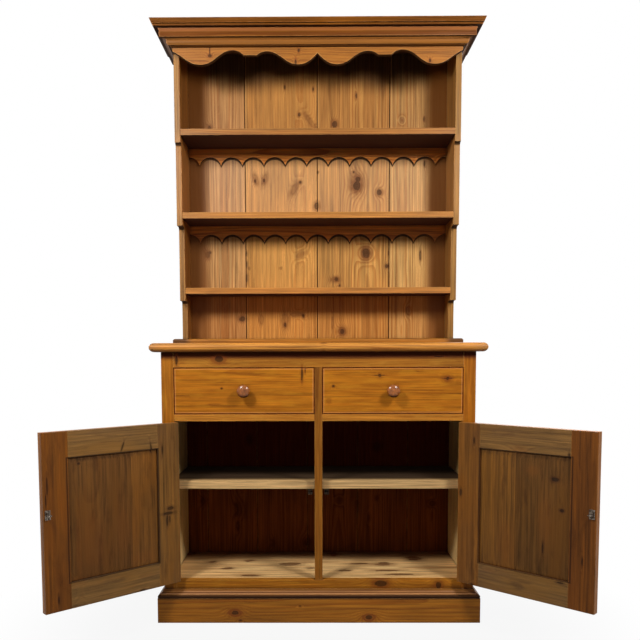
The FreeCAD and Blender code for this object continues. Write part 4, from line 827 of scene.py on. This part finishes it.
def turnedKnob(node, side=None):
    # point(s, a) = foot + out * reach(s) + radius(s) * (cos a * across + sin a * up), s along the
    # knob's outline and a once round it
    source = frame["nodes"][node]
    found = np.zeros(len(source.data.vertices) * 3)
    source.data.vertices.foreach_get("co", found)
    found = found.reshape(-1, 3)
    if side:
        across, inward, up = [np.array(way) for way in doorFrame(side)[1:]]
    else:
        across, inward, up = np.eye(3)
    low = np.array([(found @ way).min() for way in (across, inward, up)])
    high = np.array([(found @ way).max() for way in (across, inward, up)])
    middle = (low + high) / 2
    middle[1] = high[1] - knobShape["spigot"]
    foot = middle @ np.array([across, inward, up])
    outline = np.array(knobOutline)
    count = len(outline)
    places = np.linspace(0, count - 1, (count - 1) * knobShape["between"] + 1)
    reach = np.interp(places, np.arange(count), outline[:, 0]) * knobShape["reach"]
    radius = np.interp(places, np.arange(count), outline[:, 1]) * knobShape["radius"]
    free = slice(4 * knobShape["between"], -1)
    for _ in range(knobShape["softened"]):  # the chisel's corners, but not at the spigot
        reach[free] = (np.roll(reach, 1) + 2 * reach + np.roll(reach, -1))[free] / 4
        radius[free] = (np.roll(radius, 1) + 2 * radius + np.roll(radius, -1))[free] / 4
    turn = np.arange(knobShape["around"]) * 2 * np.pi / knobShape["around"]
    rings = (foot - inward * reach[1:-1, None, None]
             + radius[1:-1, None, None] * (np.cos(turn)[None, :, None] * across
                                           + np.sin(turn)[None, :, None] * up))
    points = np.vstack([rings.reshape(-1, 3), foot - inward * reach[0], foot - inward * reach[-1]])
    rows, count = rings.shape[:2]
    here = np.arange(rows - 1)[:, None] * count + np.arange(count)
    beside = np.arange(rows - 1)[:, None] * count + (np.arange(count) + 1) % count
    faces = np.stack([here, here + count, beside + count, beside], -1).reshape(-1, 4).tolist()
    last = (rows - 1) * count
    for i in range(count):
        faces.append([rows * count, i, (i + 1) % count])
        faces.append([rows * count + 1, last + (i + 1) % count, last + i])
    mesh = bpy.data.meshes.new(node + "Turned")
    mesh.from_pydata(points.tolist(), [], faces)
    work = bmesh.new()
    work.from_mesh(mesh)
    bmesh.ops.recalc_face_normals(work, faces=work.faces)
    work.to_mesh(mesh)
    work.free()
    layGrain(mesh, node, "xzy", side)
    mesh.shade_smooth()
    mesh.set_sharp_from_angle(angle=math.radians(50))
    showPiece(mesh, node + "Turned", turned, source["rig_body"], node)


for side in ("left", "right"):
    turnedKnob(side + "_drawer_knob")
    turnedKnob(side + "_door_knob", side)
print("dresser: knobs turned")


def metalFinish(name, plain, worn, dull, rough):
    # old metal: dull patches over plain metal, rubbed bright on its edges, and dull in its hollows
    # where little light gets in, part dirt and part painted shade
    material, tree = startMaterial(name)
    place = put(tree, "TexCoord", {}, "Object")
    wear = useGroup(tree, "wearAndShade", Reach=0.0012, Corner=0.004, Place=place)
    patch = cloudy(tree, arrow(tree, "MULTIPLY", place, (160, 160, 160)), 4.0)
    speck = cloudy(tree, arrow(tree, "MULTIPLY", place, (900, 900, 900)), 2.0)
    metal = tone(tree, ease(tree, patch, 0.42, 0.6), plain, dull)
    metal = tone(tree, wear["Edge"], metal, worn)
    # dull where little light gets in: dirt and painted shade
    metal = tone(tree, wear["DirtAndShade"], metal, dull)
    pitted = put(tree, "Bump", {"Height": speck, "Distance": 0.00012, "Strength": 0.5})
    skin = tree.nodes.new("ShaderNodeBsdfPrincipled")
    skin.inputs["Metallic"].default_value = 0.85
    for socket, feed in (("Base Color", metal), ("Normal", pitted),
                         ("Roughness", sums(tree, "MULTIPLY_ADD", patch, 0.3, rough - 0.15))):
        tree.links.new(feed, skin.inputs[socket])
    put(tree, "OutputMaterial", {"Surface": skin.outputs[0]})
    return material


hingeIron = metalFinish("hingeIron", paint(62, 52, 44), paint(128, 116, 100),
                        paint(46, 28, 18), 0.5)
catchSteel = metalFinish("catchSteel", paint(60, 46, 32), paint(112, 96, 72),
                         paint(34, 20, 12), 0.5)
strikeSteel = metalFinish("strikeSteel", paint(110, 100, 88), paint(240, 232, 220),
                          paint(44, 30, 20), 0.35)
ironwork = {"hinge_frame_leaves": (hingeIron, "hinge_iron"),
            "left_hinge_door_leaves": (hingeIron, "hinge_iron"),
            "right_hinge_door_leaves": (hingeIron, "hinge_iron"),
            "hinge_pins": (hingeIron, "hinge_iron"), "catches": (catchSteel, "catch_steel"),
            "left_door_strike": (strikeSteel, "catch_steel"),
            "right_door_strike": (strikeSteel, "catch_steel")}
for node, (metal, slot) in ironwork.items():
    wornPiece(node, metal, "xyz", slot=slot, arris=0.0002, ending="Metal")
print("dresser: hinges and catches done")


studio = {  # lamps: place, power and size; the rest in metres or as a share of white
    "left": ((-1.02, -1.2, 2.02), 27, 0.4), "right": ((1.15, -1.2, 2.02), 27, 0.4),
    "fill": ((0.0, -3.4, 1.2), 4, 2.6), "back": ((0.9, 3.4, 2.3), 60, 2.6), "aim": (0, 0.1, 0.9),
    "sky": 0.01, "floorBounce": 0.2, "floorRadius": 9, "shadow": (0.65, 1.2, 0.92)}


def lamp(name, place, power, size):
    light = bpy.data.lights.new(name, "AREA")
    light.energy, light.size = power, size
    thing = bpy.data.objects.new(name, light)
    bpy.context.scene.collection.objects.link(thing)
    thing.location = place
    thing.visible_camera = False
    aim = Vector(studio["aim"]) - Vector(place)
    thing.rotation_euler = aim.to_track_quat("-Z", "Y").to_euler()


def straightRays(tree):  # 1 for rays that show the white room, 0 for those that only light
    path = tree.nodes.new("ShaderNodeLightPath")
    mirrored = sums(tree, "MAXIMUM", path.outputs["Is Glossy Ray"],
                    path.outputs["Is Transmission Ray"])
    return sums(tree, "MAXIMUM", path.outputs["Is Camera Ray"], mirrored)


def makeStage():
    # a round floor that is white to the camera, less so near the dresser, where its shadow lies
    turns = np.linspace(0, 2 * np.pi, 96, endpoint=False)
    points = [(studio["floorRadius"] * math.cos(a), studio["floorRadius"] * math.sin(a), 0)
              for a in turns]
    mesh = bpy.data.meshes.new("floor")
    mesh.from_pydata(points, [], [range(len(points))])
    floor = bpy.data.objects.new("floor", mesh)
    bpy.context.scene.collection.objects.link(floor)
    pale, tree = startMaterial("paleFloor")
    plain = put(tree, "BsdfDiffuse", {"Color": (*[studio["floorBounce"]] * 3, 1)})
    glow = put(tree, "Emission", {"Color": (1, 1, 1, 1), "Strength": 1.0})
    place = put(tree, "TexCoord", {}, "Object")
    far = arrow(tree, "LENGTH", arrow(tree, "SUBTRACT", place, (0, 0.1, 0)))
    near, clear, least = studio["shadow"]
    share = times(tree, ease(tree, far, near, clear, least, 1.0), straightRays(tree))
    both = put(tree, "MixShader", {0: share, 1: plain, 2: glow})
    put(tree, "OutputMaterial", {"Surface": both})
    mesh.materials.append(pale)

    world = bpy.data.worlds.new("studio")
    bpy.context.scene.world = world
    world.use_nodes = True
    tree = world.node_tree
    tree.nodes.clear()
    level = sums(tree, "MAXIMUM", straightRays(tree), studio["sky"])
    sky = put(tree, "Background", {"Color": (1, 1, 1, 1), "Strength": level})
    put(tree, "OutputWorld", {"Surface": sky})
    for name in ("left", "right", "fill", "back"):
        lamp(name + "Lamp", *studio[name])


def makeCamera():
    eye = {"place": (-0.0133, -2.4113, 0.8987), "turn": -0.0064, "tip": 0.0751, "roll": -0.0026,
           "lens": 41.255, "shift": (0.0161, 0.14)}  # metres, radians, millimetres
    turn, tip, roll = eye["turn"], eye["tip"], eye["roll"]
    side = Vector((math.cos(turn), -math.sin(turn), 0))
    ahead = Vector((math.sin(turn) * math.cos(tip), math.cos(turn) * math.cos(tip), -math.sin(tip)))
    over = Vector((math.sin(turn) * math.sin(tip), math.cos(turn) * math.sin(tip), math.cos(tip)))
    right = side * math.cos(roll) + over * math.sin(roll)
    up = over * math.cos(roll) - side * math.sin(roll)
    lens = bpy.data.cameras.new("eye")
    lens.lens, lens.sensor_width = eye["lens"], 36
    lens.shift_x, lens.shift_y = eye["shift"]
    lens.clip_end = 60
    camera = bpy.data.objects.new("eye", lens)
    bpy.context.scene.collection.objects.link(camera)
    camera.matrix_world = Matrix.Translation(eye["place"]) @ Matrix(
        (right, up, -ahead)).transposed().to_4x4()
    bpy.context.scene.camera = camera
    bpy.context.scene.view_settings.view_transform = "Standard"


makeStage()
makeCamera()
print("dresser: stage, lamps and camera set")
